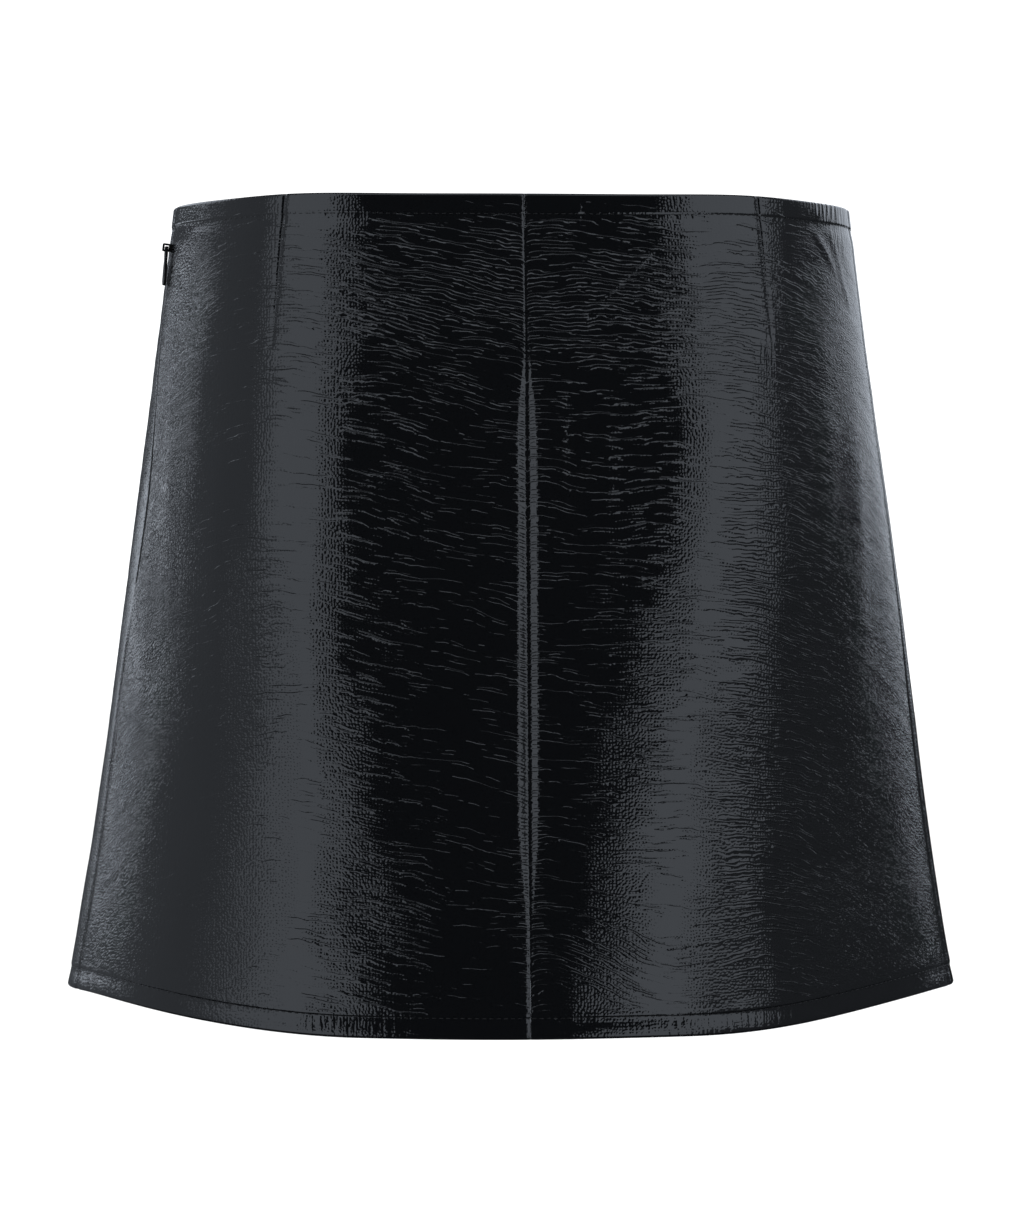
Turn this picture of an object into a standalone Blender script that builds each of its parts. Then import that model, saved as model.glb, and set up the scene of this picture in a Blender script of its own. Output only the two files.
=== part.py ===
"""Vinyl mini skirt, hollow and filled out as when it is worn, with nobody in it.

Metres, +Z up. The origin is the middle of the waist opening, level with the waist edge.
-Y is the centre back, +Y the centre front, and the zip is in the side seam at -X.
Angles round the skirt are measured from the centre back and grow towards +X.
"""

import math
from collections import namedtuple

import bmesh
import bpy
import numpy as np
from mathutils import Matrix, Vector

# The cut: lengths down the skirt, from the waist edge to the hem
BACK_LENGTH = 0.379
SIDE_LENGTH = 0.3645
FRONT_LENGTH = 0.373
SIDE_RISE_FROM, SIDE_RISE_TO = math.radians(20), math.radians(75)
WAIST_LIFT = 0.0013  # the waist edge stands this much higher at the darts
WAIST_LIFT_AT, WAIST_LIFT_WIDTH = math.radians(35), math.radians(15)

# The cloth and how it is sewn
CLOTH = 0.0012  # coated knit
TURNING = 0.0105  # the waist and hem edges are turned in by this much, which doubles them
STEP_OUT = 0.0008  # height over which a turning runs out
SEAM_GAP = 0.0003
SEAM_DIP = 0.0007  # the cloth rolls in by this much at a seam
SEAM_ROLL = 0.0024  # width of that roll
EDGE_COLUMNS = (0.0, 0.0025, 0.006, 0.012)  # distances of the first points from a panel's edge

# The back darts
DART_X_WAIST = 0.108
DART_X_SPREAD = 0.085  # how far a dart leans outwards for each metre down
DART_LENGTH = 0.072
DART_DIP = 0.0011
DART_WIDTH = 0.0035

# The zip in the left side seam
ZIP_TOP, ZIP_BOTTOM = 0.0130, 0.183
ZIP_ROLL = (0.190, 0.225)  # drops between which the seam below the zip starts to roll in
ZIP_TAPE = 0.0010
ZIP_TAPE_COLUMNS = (0.0, 0.004, 0.008, 0.011)  # distances from the lip to the tape's free edge
ZIP_TAPE_TOP_DROPS = (ZIP_TOP, 0.0150, 0.0250, 0.0330)
ZIP_TAPE_LOWER_ROWS = 6
SLIDER_DROP = 0.020
SLIDER_BODY = Vector((0.0056, 0.0018, 0.0080))  # across, deep, long
SLIDER_ROUNDING = 0.0005
BRIDGE_THICK = 0.0013
BRIDGE_CORNER = 0.0006
BRIDGE_HOLE = 0.00105  # half the height and length of the eye under the bridge
BRIDGE_BAR = 0.00085
PIVOT_OUT = 0.0022  # the pull's pivot, out from the cloth
PULL_LENGTH = 0.0178
PULL_THICK = 0.0012
PULL_LEAN = math.radians(4.0)  # from the vertical, as it leans on the cloth
PULL_BAR = 0.0010
PULL_EYE_HALF = 0.0011
PULL_EYE_LENGTH = 0.0031
PULL_TOP_HALF = 0.0021
PULL_WAIST_HALF, PULL_WAIST_DOWN = 0.0015, 0.0060
PULL_SWELL_HALF, PULL_SWELL_DOWN = 0.0024, 0.0088
PULL_DROP_RADIUS = 0.0030

# Level sections of the skirt. seam_left and seam_right say how far the side seams lie
# behind the widest line.
Section = namedtuple("Section", "drop half_width back front square seam_left seam_right")
SECTIONS = (
    Section(0.000, 0.1595, 0.1020, 0.0920, 0.034, 0.0155, 0.020),
    Section(0.050, 0.1654, 0.1130, 0.0990, 0.034, 0.0165, 0.022),
    Section(0.130, 0.1760, 0.1270, 0.1080, 0.030, 0.0340, 0.025),
    Section(0.210, 0.1866, 0.1350, 0.1150, 0.020, 0.0290, 0.028),
    Section(0.290, 0.1971, 0.1400, 0.1220, 0.012, 0.0300, 0.029),
    Section(0.379, 0.2118, 0.1460, 0.1310, 0.006, 0.0285, 0.028),
)

# Soft folds that run down the skirt. A fold starts at one drop, is deepest at peak and
# has run out at end. Its middle goes from angle_top to angle_low, and width is the
# angle at which it has mostly faded. Depth is outwards for a ridge, inwards for a trough.
Fold = namedtuple("Fold", "angle_top angle_low start peak end width depth")
FOLDS = (
    Fold(-4, -2, 0.150, 0.400, 0.650, 13, 0.0052),
    Fold(50, 40, 0.110, 0.380, 0.650, 20, -0.0082),
    Fold(-38, -34, 0.160, 0.370, 0.600, 12, -0.0012),
    Fold(-88, -88, 0.060, 0.200, 0.340, 20, -0.0008),
    Fold(88, 88, 0.060, 0.200, 0.340, 20, 0.0006),
    Fold(160, 150, 0.150, 0.400, 0.650, 15, 0.0035),
    Fold(-152, -158, 0.170, 0.400, 0.650, 14, 0.0030),
    Fold(122, 118, 0.180, 0.390, 0.620, 12, -0.0022),
)

# How far the two lips of the zip stand apart, down the seam
Parting = namedtuple("Parting", "drop gap")
PARTING = (
    Parting(0.0000, 0.0006),
    Parting(0.0113, 0.0009),
    Parting(0.0150, 0.0021),
    Parting(0.0250, 0.0021),
    Parting(0.0330, 0.0003),
    Parting(0.4000, 0.0003),
)

# Rows of points down a panel, as drops at the centre back, and its columns between the
# rolled edges and the dart
TOP_DROPS = (0.0, TURNING, TURNING + STEP_OUT, 0.0150, 0.0250, 0.0330)
MIDDLE_DROPS = tuple(np.arange(0.048, 0.350, 0.0245))
HEM_DROPS = (BACK_LENGTH - TURNING - STEP_OUT, BACK_LENGTH - TURNING, BACK_LENGTH)
PANEL_DROPS = TOP_DROPS + MIDDLE_DROPS + HEM_DROPS
COLUMNS_INSIDE_DART, COLUMNS_OUTSIDE_DART = 6, 7
FRONT_COLUMNS = 28

TURN = 2 * math.pi
SAMPLES = np.radians(np.arange(-180, 360.1, 0.25))  # angles at which a row is worked out
ACROSS_STEP, ALONG_STEP = 0.001, 0.002  # reach over which the zip seam's directions are read
MERGE = 0.00001


def natural_spline(knots, values):
    """Second derivatives of the natural cubic spline through a table's rows."""
    spans = np.diff(knots)
    slopes = np.diff(values) / spans
    system = np.eye(len(knots))
    target = np.zeros(len(knots))
    for i in range(1, len(knots) - 1):
        system[i, i - 1 : i + 2] = spans[i - 1], 2 * (spans[i - 1] + spans[i]), spans[i]
        target[i] = 6 * (slopes[i] - slopes[i - 1])
    return np.linalg.solve(system, target)


def section_value(name, drop):
    """One column of the section table at any drop, smoothly between its rows."""
    knots = np.array([row.drop for row in SECTIONS])
    values = np.array([getattr(row, name) for row in SECTIONS])
    bends = natural_spline(knots, values)
    i = np.clip(np.searchsorted(knots, drop) - 1, 0, len(knots) - 2)
    span = knots[i + 1] - knots[i]
    above = (knots[i + 1] - drop) / span
    below = 1 - above
    curve = (above**3 - above) * bends[i] + (below**3 - below) * bends[i + 1]
    return above * values[i] + below * values[i + 1] + curve * span**2 / 6


def smooth_step(low, high, value):
    part = np.clip((value - low) / (high - low), 0, 1)
    return part * part * (3 - 2 * part)


def from_back(angle):
    """Angle away from the centre back, on either side."""
    return np.abs((angle + TURN / 2) % TURN - TURN / 2)


def waist_height(angle):
    aside = (from_back(angle) - WAIST_LIFT_AT) / WAIST_LIFT_WIDTH
    return WAIST_LIFT * np.exp(-(aside**2))


def length_down(angle):
    """Length from waist to hem, which is shorter at the sides than in the middle."""
    turned = from_back(angle)
    middle = np.where(turned < TURN / 4, BACK_LENGTH, FRONT_LENGTH)
    from_middle = np.minimum(turned, TURN / 2 - turned)
    rise = smooth_step(SIDE_RISE_FROM, SIDE_RISE_TO, from_middle)
    return middle + (SIDE_LENGTH - middle) * rise


def fold_offset(angle, drop):
    """How far the soft folds move the cloth out."""
    out = np.zeros_like(angle)
    for fold in FOLDS:
        way = smooth_step(fold.start, fold.end, drop)
        middle = np.radians(fold.angle_top + (fold.angle_low - fold.angle_top) * way)
        aside = (angle - middle + TURN / 2) % TURN - TURN / 2
        rising = smooth_step(fold.start, fold.peak, drop)
        falling = 1 - smooth_step(fold.peak, fold.end, drop)
        across = np.exp(-((aside / math.radians(fold.width)) ** 2))
        out += fold.depth * rising * falling * across
    return out


def skirt_row(drop_at_back):
    """One row of the outer face all round: points, outward directions and distances."""
    angle = SAMPLES
    down = drop_at_back / BACK_LENGTH
    z = (1 - down) * waist_height(angle) - down * length_down(angle)
    half_width, back, front, square = (
        section_value(name, -z) for name in ("half_width", "back", "front", "square")
    )
    x = half_width * (np.sin(angle) + square * np.sin(3 * angle)) / (1 - square)
    middle_depth, uneven_depth = (back + front) / 2, (back - front) / 2
    y = -np.cos(angle) * (middle_depth + uneven_depth * np.cos(angle))
    across_x, across_y = np.gradient(x), np.gradient(y)
    length = np.hypot(across_x, across_y)
    out_x, out_y = across_y / length, -across_x / length
    out = fold_offset(angle, -z)
    x, y = x + out * out_x, y + out * out_y
    steps = np.sqrt(np.diff(x) ** 2 + np.diff(y) ** 2 + np.diff(z) ** 2)
    distance = np.concatenate([[0], np.cumsum(steps)])
    distance -= np.interp(0, angle, distance)
    return {"x": x, "y": y, "z": z, "out_x": out_x, "out_y": out_y, "distance": distance}


def seam_distance(row, side):
    """Distance of a side seam from the centre back. side is 1 at +X and -1 at -X."""
    half = (side * SAMPLES >= 0) & (side * SAMPLES <= TURN / 2)
    order = np.argsort(row["y"][half])
    drop = -np.interp(side * TURN / 4, SAMPLES, row["z"])
    behind = section_value("seam_right" if side > 0 else "seam_left", drop)
    return np.interp(-behind, row["y"][half][order], row["distance"][half][order])


def dart_distance(row, side, drop):
    """Distance of a dart's line from the centre back. It runs on below the dart."""
    half = (side * SAMPLES >= 0) & (side * SAMPLES <= TURN / 4)
    order = np.argsort(row["x"][half])
    x = side * (DART_X_WAIST + DART_X_SPREAD * drop)
    return np.interp(x, row["x"][half][order], row["distance"][half][order])


def place(row, distance, inwards=0.0):
    """Points at these distances round a row, moved in from the outer face."""
    values = {key: np.interp(distance, row["distance"], row[key]) for key in row}
    x = values["x"] - inwards * values["out_x"]
    y = values["y"] - inwards * values["out_y"]
    return np.column_stack([x, y, values["z"]])


def lip_gap(drop):
    """Half the gap at the zip seam."""
    return np.interp(drop, [p.drop for p in PARTING], [p.gap for p in PARTING]) / 2


def seam_roll(distance_from_edge):
    return SEAM_DIP * np.exp(-((distance_from_edge / SEAM_ROLL) ** 2))


def zip_seam_roll(distance_from_edge, drop):
    """The same at the left side seam, which is flat as far down as the zip reaches."""
    return seam_roll(distance_from_edge) * smooth_step(*ZIP_ROLL, drop)


def between(start, end, count):
    """Evenly spaced values strictly between two ends."""
    return list(np.linspace(start, end, count + 2)[1:-1])


def back_panel(side):
    """Grid of one back panel, from the centre back seam to its side seam."""
    grid = []
    for drop in PANEL_DROPS:
        row = skirt_row(drop)
        dart = abs(dart_distance(row, side, drop))
        edge_gap = SEAM_GAP / 2 if side > 0 else lip_gap(drop)
        first, last = SEAM_GAP / 2, abs(seam_distance(row, side)) - edge_gap
        marks = [first + d for d in EDGE_COLUMNS]
        marks += between(marks[-1], dart - DART_WIDTH, COLUMNS_INSIDE_DART)
        marks += [dart - DART_WIDTH, dart, dart + DART_WIDTH]
        ending = [last - d for d in reversed(EDGE_COLUMNS)]
        marks += between(marks[-1], ending[0], COLUMNS_OUTSIDE_DART) + ending
        marks = np.array(marks)
        dips = seam_roll(marks - first)
        if side > 0:
            dips = dips + seam_roll(last - marks)
        else:
            dips = dips + zip_seam_roll(last - marks, drop)
        dart_part = max(0.0, 1 - drop / DART_LENGTH)
        dips = dips + np.where(marks == dart, DART_DIP * dart_part, 0)
        grid.append(place(row, side * marks, dips))
    return np.array(grid)


def front_panel():
    """Grid of the front panel, from the right side seam round to the left one."""
    grid = []
    for drop in PANEL_DROPS:
        row = skirt_row(drop)
        girth = np.interp(TURN, SAMPLES, row["distance"])
        first = seam_distance(row, 1) + SEAM_GAP / 2
        last = girth + seam_distance(row, -1) - lip_gap(drop)
        marks = [first + d for d in EDGE_COLUMNS]
        ending = [last - d for d in reversed(EDGE_COLUMNS)]
        marks += between(marks[-1], ending[0], FRONT_COLUMNS) + ending
        marks = np.array(marks)
        dips = seam_roll(marks - first) + zip_seam_roll(last - marks, drop)
        grid.append(place(row, marks, dips))
    return np.array(grid)


def zip_tape(side):
    """Grid of one half of the zip's tape. side is 1 on the back panel, -1 on the front."""
    drops = list(ZIP_TAPE_TOP_DROPS)
    drops += between(drops[-1], ZIP_BOTTOM, ZIP_TAPE_LOWER_ROWS) + [ZIP_BOTTOM]
    grid = []
    for drop in drops:
        row = skirt_row(drop)
        seam = seam_distance(row, -1)
        marks = lip_gap(drop) + np.array(ZIP_TAPE_COLUMNS)
        grid.append(place(row, seam + side * marks, CLOTH + SEAM_GAP))
    return np.array(grid)


def material(name, colour, roughness, metallic=0.0):
    made = bpy.data.materials.new(name)
    made.use_nodes = True
    shader = made.node_tree.nodes["Principled BSDF"]
    shader.inputs["Base Color"].default_value = (*colour, 1)
    shader.inputs["Roughness"].default_value = roughness
    shader.inputs["Metallic"].default_value = metallic
    made.diffuse_color = (*colour, 1)
    return made


def add_object(name, data, collection, finish):
    piece = bpy.data.objects.new(name, data)
    data.materials.append(finish)
    collection.objects.link(piece)
    return piece


def smooth_faces(mesh, sharpest=40):
    for face in mesh.polygons:
        face.use_smooth = True
    mesh.set_sharp_from_angle(angle=math.radians(sharpest))


def cloth_sheet(name, grid, collection, finish, thickness, doubled_rows=()):
    """A sheet through a grid of points, thickened inwards; doubled rows twice as much."""
    rows, columns = grid.shape[:2]
    mesh = bpy.data.meshes.new(name)
    shape = bmesh.new()
    points = [[shape.verts.new(point) for point in line] for line in grid]
    for i in range(rows - 1):
        for j in range(columns - 1):
            corners = (points[i][j], points[i + 1][j], points[i + 1][j + 1], points[i][j + 1])
            shape.faces.new(corners)
    shape.normal_update()
    level = Vector((1, 1, 0))
    if sum(face.normal.dot(face.calc_center_median() * level) for face in shape.faces) < 0:
        bmesh.ops.reverse_faces(shape, faces=shape.faces)
    shape.to_mesh(mesh)
    shape.free()
    smooth_faces(mesh)
    sheet = add_object(name, mesh, collection, finish)
    walls = sheet.modifiers.new("Wall", "SOLIDIFY")
    walls.thickness = thickness
    walls.offset = -1
    walls.use_even_offset = True
    if doubled_rows:
        walls.thickness = 2 * thickness
        layers = sheet.vertex_groups.new(name="Layers")
        for i in range(rows):
            weight = 1.0 if i in doubled_rows else 0.5
            layers.add(list(range(i * columns, (i + 1) * columns)), weight, "REPLACE")
        walls.vertex_group = layers.name
    return sheet


def seam_frame(drop):
    """Place of the zip seam on the outer face and its directions: across, out, up."""

    def seam_point(at):
        row = skirt_row(at)
        return Vector(place(row, np.array([seam_distance(row, -1)]))[0])

    row = skirt_row(drop)
    middle = seam_distance(row, -1)
    beside = place(row, middle + np.array([-ACROSS_STEP, ACROSS_STEP]))
    across = Vector(beside[1] - beside[0]).normalized()
    up = (seam_point(drop - ALONG_STEP) - seam_point(drop + ALONG_STEP)).normalized()
    out = up.cross(across).normalized()
    if out.x > 0:
        out.negate()
    up = across.cross(out)
    if up.z < 0:
        across.negate()
        up.negate()
    return seam_point(drop), across, out, up


def placed(origin, across, out, up):
    """World matrix of a piece whose own X is across, Y is out and Z is up."""
    turned = Matrix((across, out, up)).transposed().to_4x4()
    return Matrix.Translation(origin) @ turned


def flat_mesh(name, outlines, half_thickness):
    """A flat plate in its own XY plane, with holes where a later outline lies inside."""
    curve = bpy.data.curves.new(name, "CURVE")
    curve.dimensions = "2D"
    curve.fill_mode = "BOTH"
    curve.extrude = half_thickness
    for outline in outlines:
        spline = curve.splines.new("POLY")
        spline.points.add(len(outline) - 1)
        for point, (x, y) in zip(spline.points, outline):
            point.co = (x, y, 0, 1)
        spline.use_cyclic_u = True
    guide = bpy.data.objects.new(name + "_outline", curve)
    bpy.context.scene.collection.objects.link(guide)
    graph = bpy.context.evaluated_depsgraph_get()
    mesh = bpy.data.meshes.new_from_object(guide.evaluated_get(graph))
    bpy.data.objects.remove(guide)
    bpy.data.curves.remove(curve)
    mesh.name = name
    shape = bmesh.new()
    shape.from_mesh(mesh)
    bmesh.ops.remove_doubles(shape, verts=shape.verts, dist=MERGE)
    bmesh.ops.recalc_face_normals(shape, faces=shape.faces)
    shape.to_mesh(mesh)
    shape.free()
    return mesh


def rectangle(x_low, x_high, y_low, y_high):
    return [(x_low, y_low), (x_high, y_low), (x_high, y_high), (x_low, y_high)]


def arc(centre, radius, start, end, steps):
    angles = np.radians(np.linspace(start, end, steps + 1))
    return [
        (centre[0] + radius * math.cos(a), centre[1] + radius * math.sin(a)) for a in angles
    ]


def zip_slider(collection, cutters, finish):
    """The slider: a body behind the tapes, a neck between the lips and a bridge."""
    origin, across, out, up = seam_frame(SLIDER_DROP)
    matrix = placed(origin, across, out, up)
    behind = CLOTH + SEAM_GAP + ZIP_TAPE + SEAM_GAP
    bpy.ops.mesh.primitive_cube_add(size=1)
    body = bpy.context.object
    body.name = "zip_slider"
    for old in list(body.users_collection):
        old.objects.unlink(body)
    collection.objects.link(body)
    lift = Matrix.Translation((0, -behind - SLIDER_BODY.y / 2, 0))
    body.data.transform(lift @ Matrix.Diagonal((*SLIDER_BODY, 1)))
    body.data.materials.append(finish)

    # The bridge's side view, drawn with X along the zip and Y outwards
    half_long = BRIDGE_HOLE + BRIDGE_BAR
    root = -behind - SLIDER_BODY.y / 2
    corner = (half_long - BRIDGE_CORNER, PIVOT_OUT + half_long - BRIDGE_CORNER)
    side_view = [(-half_long, root), (half_long, root)]
    side_view += arc(corner, BRIDGE_CORNER, 0, 90, 4)
    side_view += arc((-corner[0], corner[1]), BRIDGE_CORNER, 90, 180, 4)
    eye = rectangle(-BRIDGE_HOLE, BRIDGE_HOLE, PIVOT_OUT - BRIDGE_HOLE, PIVOT_OUT + BRIDGE_HOLE)
    bridge_mesh = flat_mesh("bridge", [side_view, eye], BRIDGE_THICK / 2)
    bridge_mesh.transform(Matrix(((0, 0, 1, 0), (0, 1, 0, 0), (-1, 0, 0, 0), (0, 0, 0, 1))))
    bridge = bpy.data.objects.new("bridge", bridge_mesh)
    cutters.objects.link(bridge)
    bridge.hide_render = True
    bridge.display_type = "WIRE"
    bridge.matrix_world = matrix
    body.matrix_world = matrix
    rounding = body.modifiers.new("Rounding", "BEVEL")
    rounding.width = SLIDER_ROUNDING
    rounding.segments = 2
    union = body.modifiers.new("Bridge", "BOOLEAN")
    union.operation = "UNION"
    union.object = bridge
    return body


def zip_pull(collection, finish):
    """The pull tab, hung by its top bar in the bridge and leaning on the cloth."""
    origin, across, out, up = seam_frame(SLIDER_DROP)
    pivot = origin + PIVOT_OUT * out
    level_out = Vector((out.x, out.y, 0)).normalized()
    rise = math.cos(PULL_LEAN) * Vector((0, 0, 1)) - math.sin(PULL_LEAN) * level_out
    face = across.cross(rise).normalized()

    # Right half of the outline, from the foot up, with Y up and the pivot at zero
    foot = (0, -PULL_LENGTH + PULL_DROP_RADIUS)
    half = arc(foot, PULL_DROP_RADIUS, -90, 20, 9)
    half += [(PULL_SWELL_HALF, -PULL_SWELL_DOWN), (PULL_WAIST_HALF, -PULL_WAIST_DOWN)]
    half += [(PULL_TOP_HALF, -PULL_EYE_LENGTH), (PULL_TOP_HALF, 0.0)]
    half += arc((PULL_TOP_HALF - PULL_BAR / 2, 0.0), PULL_BAR / 2, 0, 90, 3)[1:]
    outline = half + [(-x, y) for x, y in reversed(half[1:])]
    eye = rectangle(-PULL_EYE_HALF, PULL_EYE_HALF, -PULL_EYE_LENGTH, -PULL_BAR / 2)
    mesh = flat_mesh("zip_pull", [outline, eye], PULL_THICK / 2)
    pull = add_object("zip_pull", mesh, collection, finish)
    axes = Matrix((across, rise, face)).transposed().to_4x4()
    pull.matrix_world = Matrix.Translation(pivot) @ axes
    return pull


def new_collection(name):
    made = bpy.data.collections.new(name)
    bpy.context.scene.collection.children.link(made)
    return made


def build_skirt():
    for old in list(bpy.data.objects):
        bpy.data.objects.remove(old, do_unlink=True)
    skirt = new_collection("Vinyl mini skirt")
    cutters = new_collection("Joined shapes")
    vinyl = material("Black patent vinyl", (0.006, 0.006, 0.008), 0.12)
    tape = material("Black woven zip tape", (0.008, 0.008, 0.009), 0.85)
    enamel = material("Black enamelled metal", (0.007, 0.007, 0.008), 0.3)

    last_row = len(PANEL_DROPS) - 1
    turned_rows = (0, 1, last_row - 1, last_row)
    cloth_sheet("back_left", back_panel(-1), skirt, vinyl, CLOTH, turned_rows)
    cloth_sheet("back_right", back_panel(1), skirt, vinyl, CLOTH, turned_rows)
    cloth_sheet("front", front_panel(), skirt, vinyl, CLOTH, turned_rows)
    cloth_sheet("zip_tape_back", zip_tape(1), skirt, tape, ZIP_TAPE)
    cloth_sheet("zip_tape_front", zip_tape(-1), skirt, tape, ZIP_TAPE)
    zip_slider(skirt, cutters, enamel)
    zip_pull(skirt, enamel)


build_skirt()
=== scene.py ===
import math

import bpy
import numpy as np
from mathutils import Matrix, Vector


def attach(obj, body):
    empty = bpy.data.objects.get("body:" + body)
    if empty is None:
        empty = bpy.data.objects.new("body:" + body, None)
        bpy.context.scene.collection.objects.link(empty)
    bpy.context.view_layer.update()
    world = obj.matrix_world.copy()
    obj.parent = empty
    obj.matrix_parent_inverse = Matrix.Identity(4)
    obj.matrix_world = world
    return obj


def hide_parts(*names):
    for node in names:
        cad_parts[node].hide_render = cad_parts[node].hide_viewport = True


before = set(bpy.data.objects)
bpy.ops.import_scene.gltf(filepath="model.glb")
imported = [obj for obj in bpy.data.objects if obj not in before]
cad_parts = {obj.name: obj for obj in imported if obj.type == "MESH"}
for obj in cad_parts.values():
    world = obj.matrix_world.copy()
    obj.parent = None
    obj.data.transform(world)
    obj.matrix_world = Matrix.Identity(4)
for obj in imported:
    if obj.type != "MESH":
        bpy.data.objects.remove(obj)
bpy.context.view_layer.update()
bpy.ops.object.select_all(action="DESELECT")
print("frame loaded:", ", ".join(sorted(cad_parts)))

# Lengths are metres unless a name says otherwise. -Y is the centre back, +X the wearer's right,
# angles round the skirt start at the centre back and grow towards +X.
fullTurn = 2 * math.pi
turnAngles = np.radians(np.arange(-180, 360.05, 0.1))

cut = {
    "backLength": 0.379,
    "sideLength": 0.3645,
    "frontLength": 0.373,
    "sideRiseDegrees": (20, 75),  # where the hem climbs from the middle's length to the sides'
    "waistLift": 0.0013,  # the waist edge is this much higher at the darts
    "waistLiftDegrees": (35, 15),  # middle and width of that lift
    "seamGap": 0.00004,  # sewn shut, so hardly a gap
    "dartAtWaist": 0.108,
    "dartLean": 0.085,
    "dartLength": 0.072,
}

levels = {  # one column for each level down the skirt
    "drop":      (0.0000, 0.0500, 0.1300, 0.2100, 0.2900, 0.3790),
    "halfWidth": (0.1595, 0.1654, 0.1760, 0.1866, 0.1971, 0.2118),
    "back":      (0.1020, 0.1130, 0.1270, 0.1350, 0.1400, 0.1460),
    "front":     (0.0920, 0.0990, 0.1080, 0.1150, 0.1220, 0.1310),
    "square":    (0.0340, 0.0340, 0.0300, 0.0200, 0.0120, 0.0060),
    "seamLeft":  (0.0155, 0.0165, 0.0340, 0.0290, 0.0300, 0.0285),
    "seamRight": (0.0200, 0.0220, 0.0250, 0.0280, 0.0290, 0.0280),
}

# Soft folds: angle at the top and at the hem, drops where one starts, is deepest and ends,
# width as an angle, depth, which is outwards for a ridge and below zero for a trough
folds = [
    (-4, -2, 0.150, 0.400, 0.650, 13, 0.0052),
    (50, 40, 0.110, 0.380, 0.650, 20, -0.0082),
    (-38, -34, 0.160, 0.370, 0.600, 12, -0.0012),
    (-88, -88, 0.060, 0.200, 0.340, 20, -0.0008),
    (88, 88, 0.060, 0.200, 0.340, 20, 0.0006),
    (160, 150, 0.150, 0.400, 0.650, 15, 0.0035),
    (-152, -158, 0.170, 0.400, 0.650, 14, 0.0030),
    (122, 118, 0.180, 0.390, 0.620, 12, -0.0022),
]

zipSeam = {
    "bottom": 0.183,
    "gapDrops": (0, 0.0113, 0.0150, 0.0250, 0.0330, 0.400),
    "gaps": (0.0006, 0.0009, 0.0021, 0.0021, 0.0002, 0.0002),
    "rollDrops": (0.190, 0.225),  # the lips lie flat on the tapes above, and roll into the seam below
    "sliderDrop": 0.020,
    "lipRound": 0.0008,
    "lipWidth": 0.0009,
}


def smoothStep(low, high, value):
    part = np.clip((value - low) / (high - low), 0, 1)
    return part * part * (3 - 2 * part)


def bump(value, middle, width):
    return np.exp(-(((value - middle) / width) ** 2))


def levelValue(name, drop):
    # natural cubic spline down one row of the levels table
    knots, values = np.array(levels["drop"]), np.array(levels[name])
    spans, slopes = np.diff(knots), np.diff(values) / np.diff(knots)
    rules, target = np.eye(len(knots)), np.zeros(len(knots))
    for i in range(1, len(knots) - 1):
        rules[i, i - 1 : i + 2] = spans[i - 1], 2 * (spans[i - 1] + spans[i]), spans[i]
        target[i] = 6 * (slopes[i] - slopes[i - 1])
    bends = np.linalg.solve(rules, target)
    i = np.clip(np.searchsorted(knots, drop) - 1, 0, len(knots) - 2)
    above = (knots[i + 1] - drop) / spans[i]
    below = 1 - above
    curve = (above**3 - above) * bends[i] + (below**3 - below) * bends[i + 1]
    return above * values[i] + below * values[i + 1] + curve * spans[i] ** 2 / 6


def fromBack(angle):
    return np.abs((angle + math.pi) % fullTurn - math.pi)


def waistHeight(angle):
    middle, width = np.radians(cut["waistLiftDegrees"])
    return cut["waistLift"] * bump(fromBack(angle), middle, width)


def lengthDown(angle):
    turned = fromBack(angle)
    middle = np.where(turned < math.pi / 2, cut["backLength"], cut["frontLength"])
    rise = smoothStep(*np.radians(cut["sideRiseDegrees"]), np.minimum(turned, math.pi - turned))
    return middle + (cut["sideLength"] - middle) * rise


def foldOut(angle, drop):
    out = np.zeros_like(angle)
    for angleTop, angleLow, start, peak, end, width, depth in folds:
        way = smoothStep(start, end, drop)
        middle = np.radians(angleTop + (angleLow - angleTop) * way)
        aside = (angle - middle + math.pi) % fullTurn - math.pi
        strength = smoothStep(start, peak, drop) * (1 - smoothStep(peak, end, drop))
        out += depth * strength * bump(aside, 0, math.radians(width))
    return out


def skirtLevel(drop):
    # the outer face all round at one drop, measured at the centre back
    down = drop / cut["backLength"]
    z = (1 - down) * waistHeight(turnAngles) - down * lengthDown(turnAngles)
    halfWidth, back, front, square = (
        levelValue(name, -z) for name in ("halfWidth", "back", "front", "square")
    )
    x = halfWidth * (np.sin(turnAngles) + square * np.sin(3 * turnAngles)) / (1 - square)
    y = -np.cos(turnAngles) * ((back + front) / 2 + (back - front) / 2 * np.cos(turnAngles))
    acrossX, acrossY = np.gradient(x), np.gradient(y)
    size = np.hypot(acrossX, acrossY)
    outX, outY = acrossY / size, -acrossX / size
    out = foldOut(turnAngles, -z)
    x, y = x + out * outX, y + out * outY
    steps = np.sqrt(np.diff(x) ** 2 + np.diff(y) ** 2 + np.diff(z) ** 2)
    along = np.concatenate([[0], np.cumsum(steps)])
    along -= np.interp(0, turnAngles, along)
    tall = waistHeight(turnAngles) + lengthDown(turnAngles)
    return {"x": x, "y": y, "z": z, "outX": outX, "outY": outY, "along": along, "tall": tall}


def seamAlong(level, side):
    half = (side * turnAngles >= 0) & (side * turnAngles <= math.pi)
    order = np.argsort(level["y"][half])
    drop = -np.interp(side * math.pi / 2, turnAngles, level["z"])
    behind = levelValue("seamRight" if side > 0 else "seamLeft", drop)
    return float(np.interp(-behind, level["y"][half][order], level["along"][half][order]))


def dartAlong(level, side, drop):
    half = (side * turnAngles >= 0) & (side * turnAngles <= math.pi / 2)
    order = np.argsort(level["x"][half])
    x = side * (cut["dartAtWaist"] + cut["dartLean"] * drop)
    return float(np.interp(x, level["x"][half][order], level["along"][half][order]))


def girthOf(level):
    return float(np.interp(fullTurn, turnAngles, level["along"]))


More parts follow.
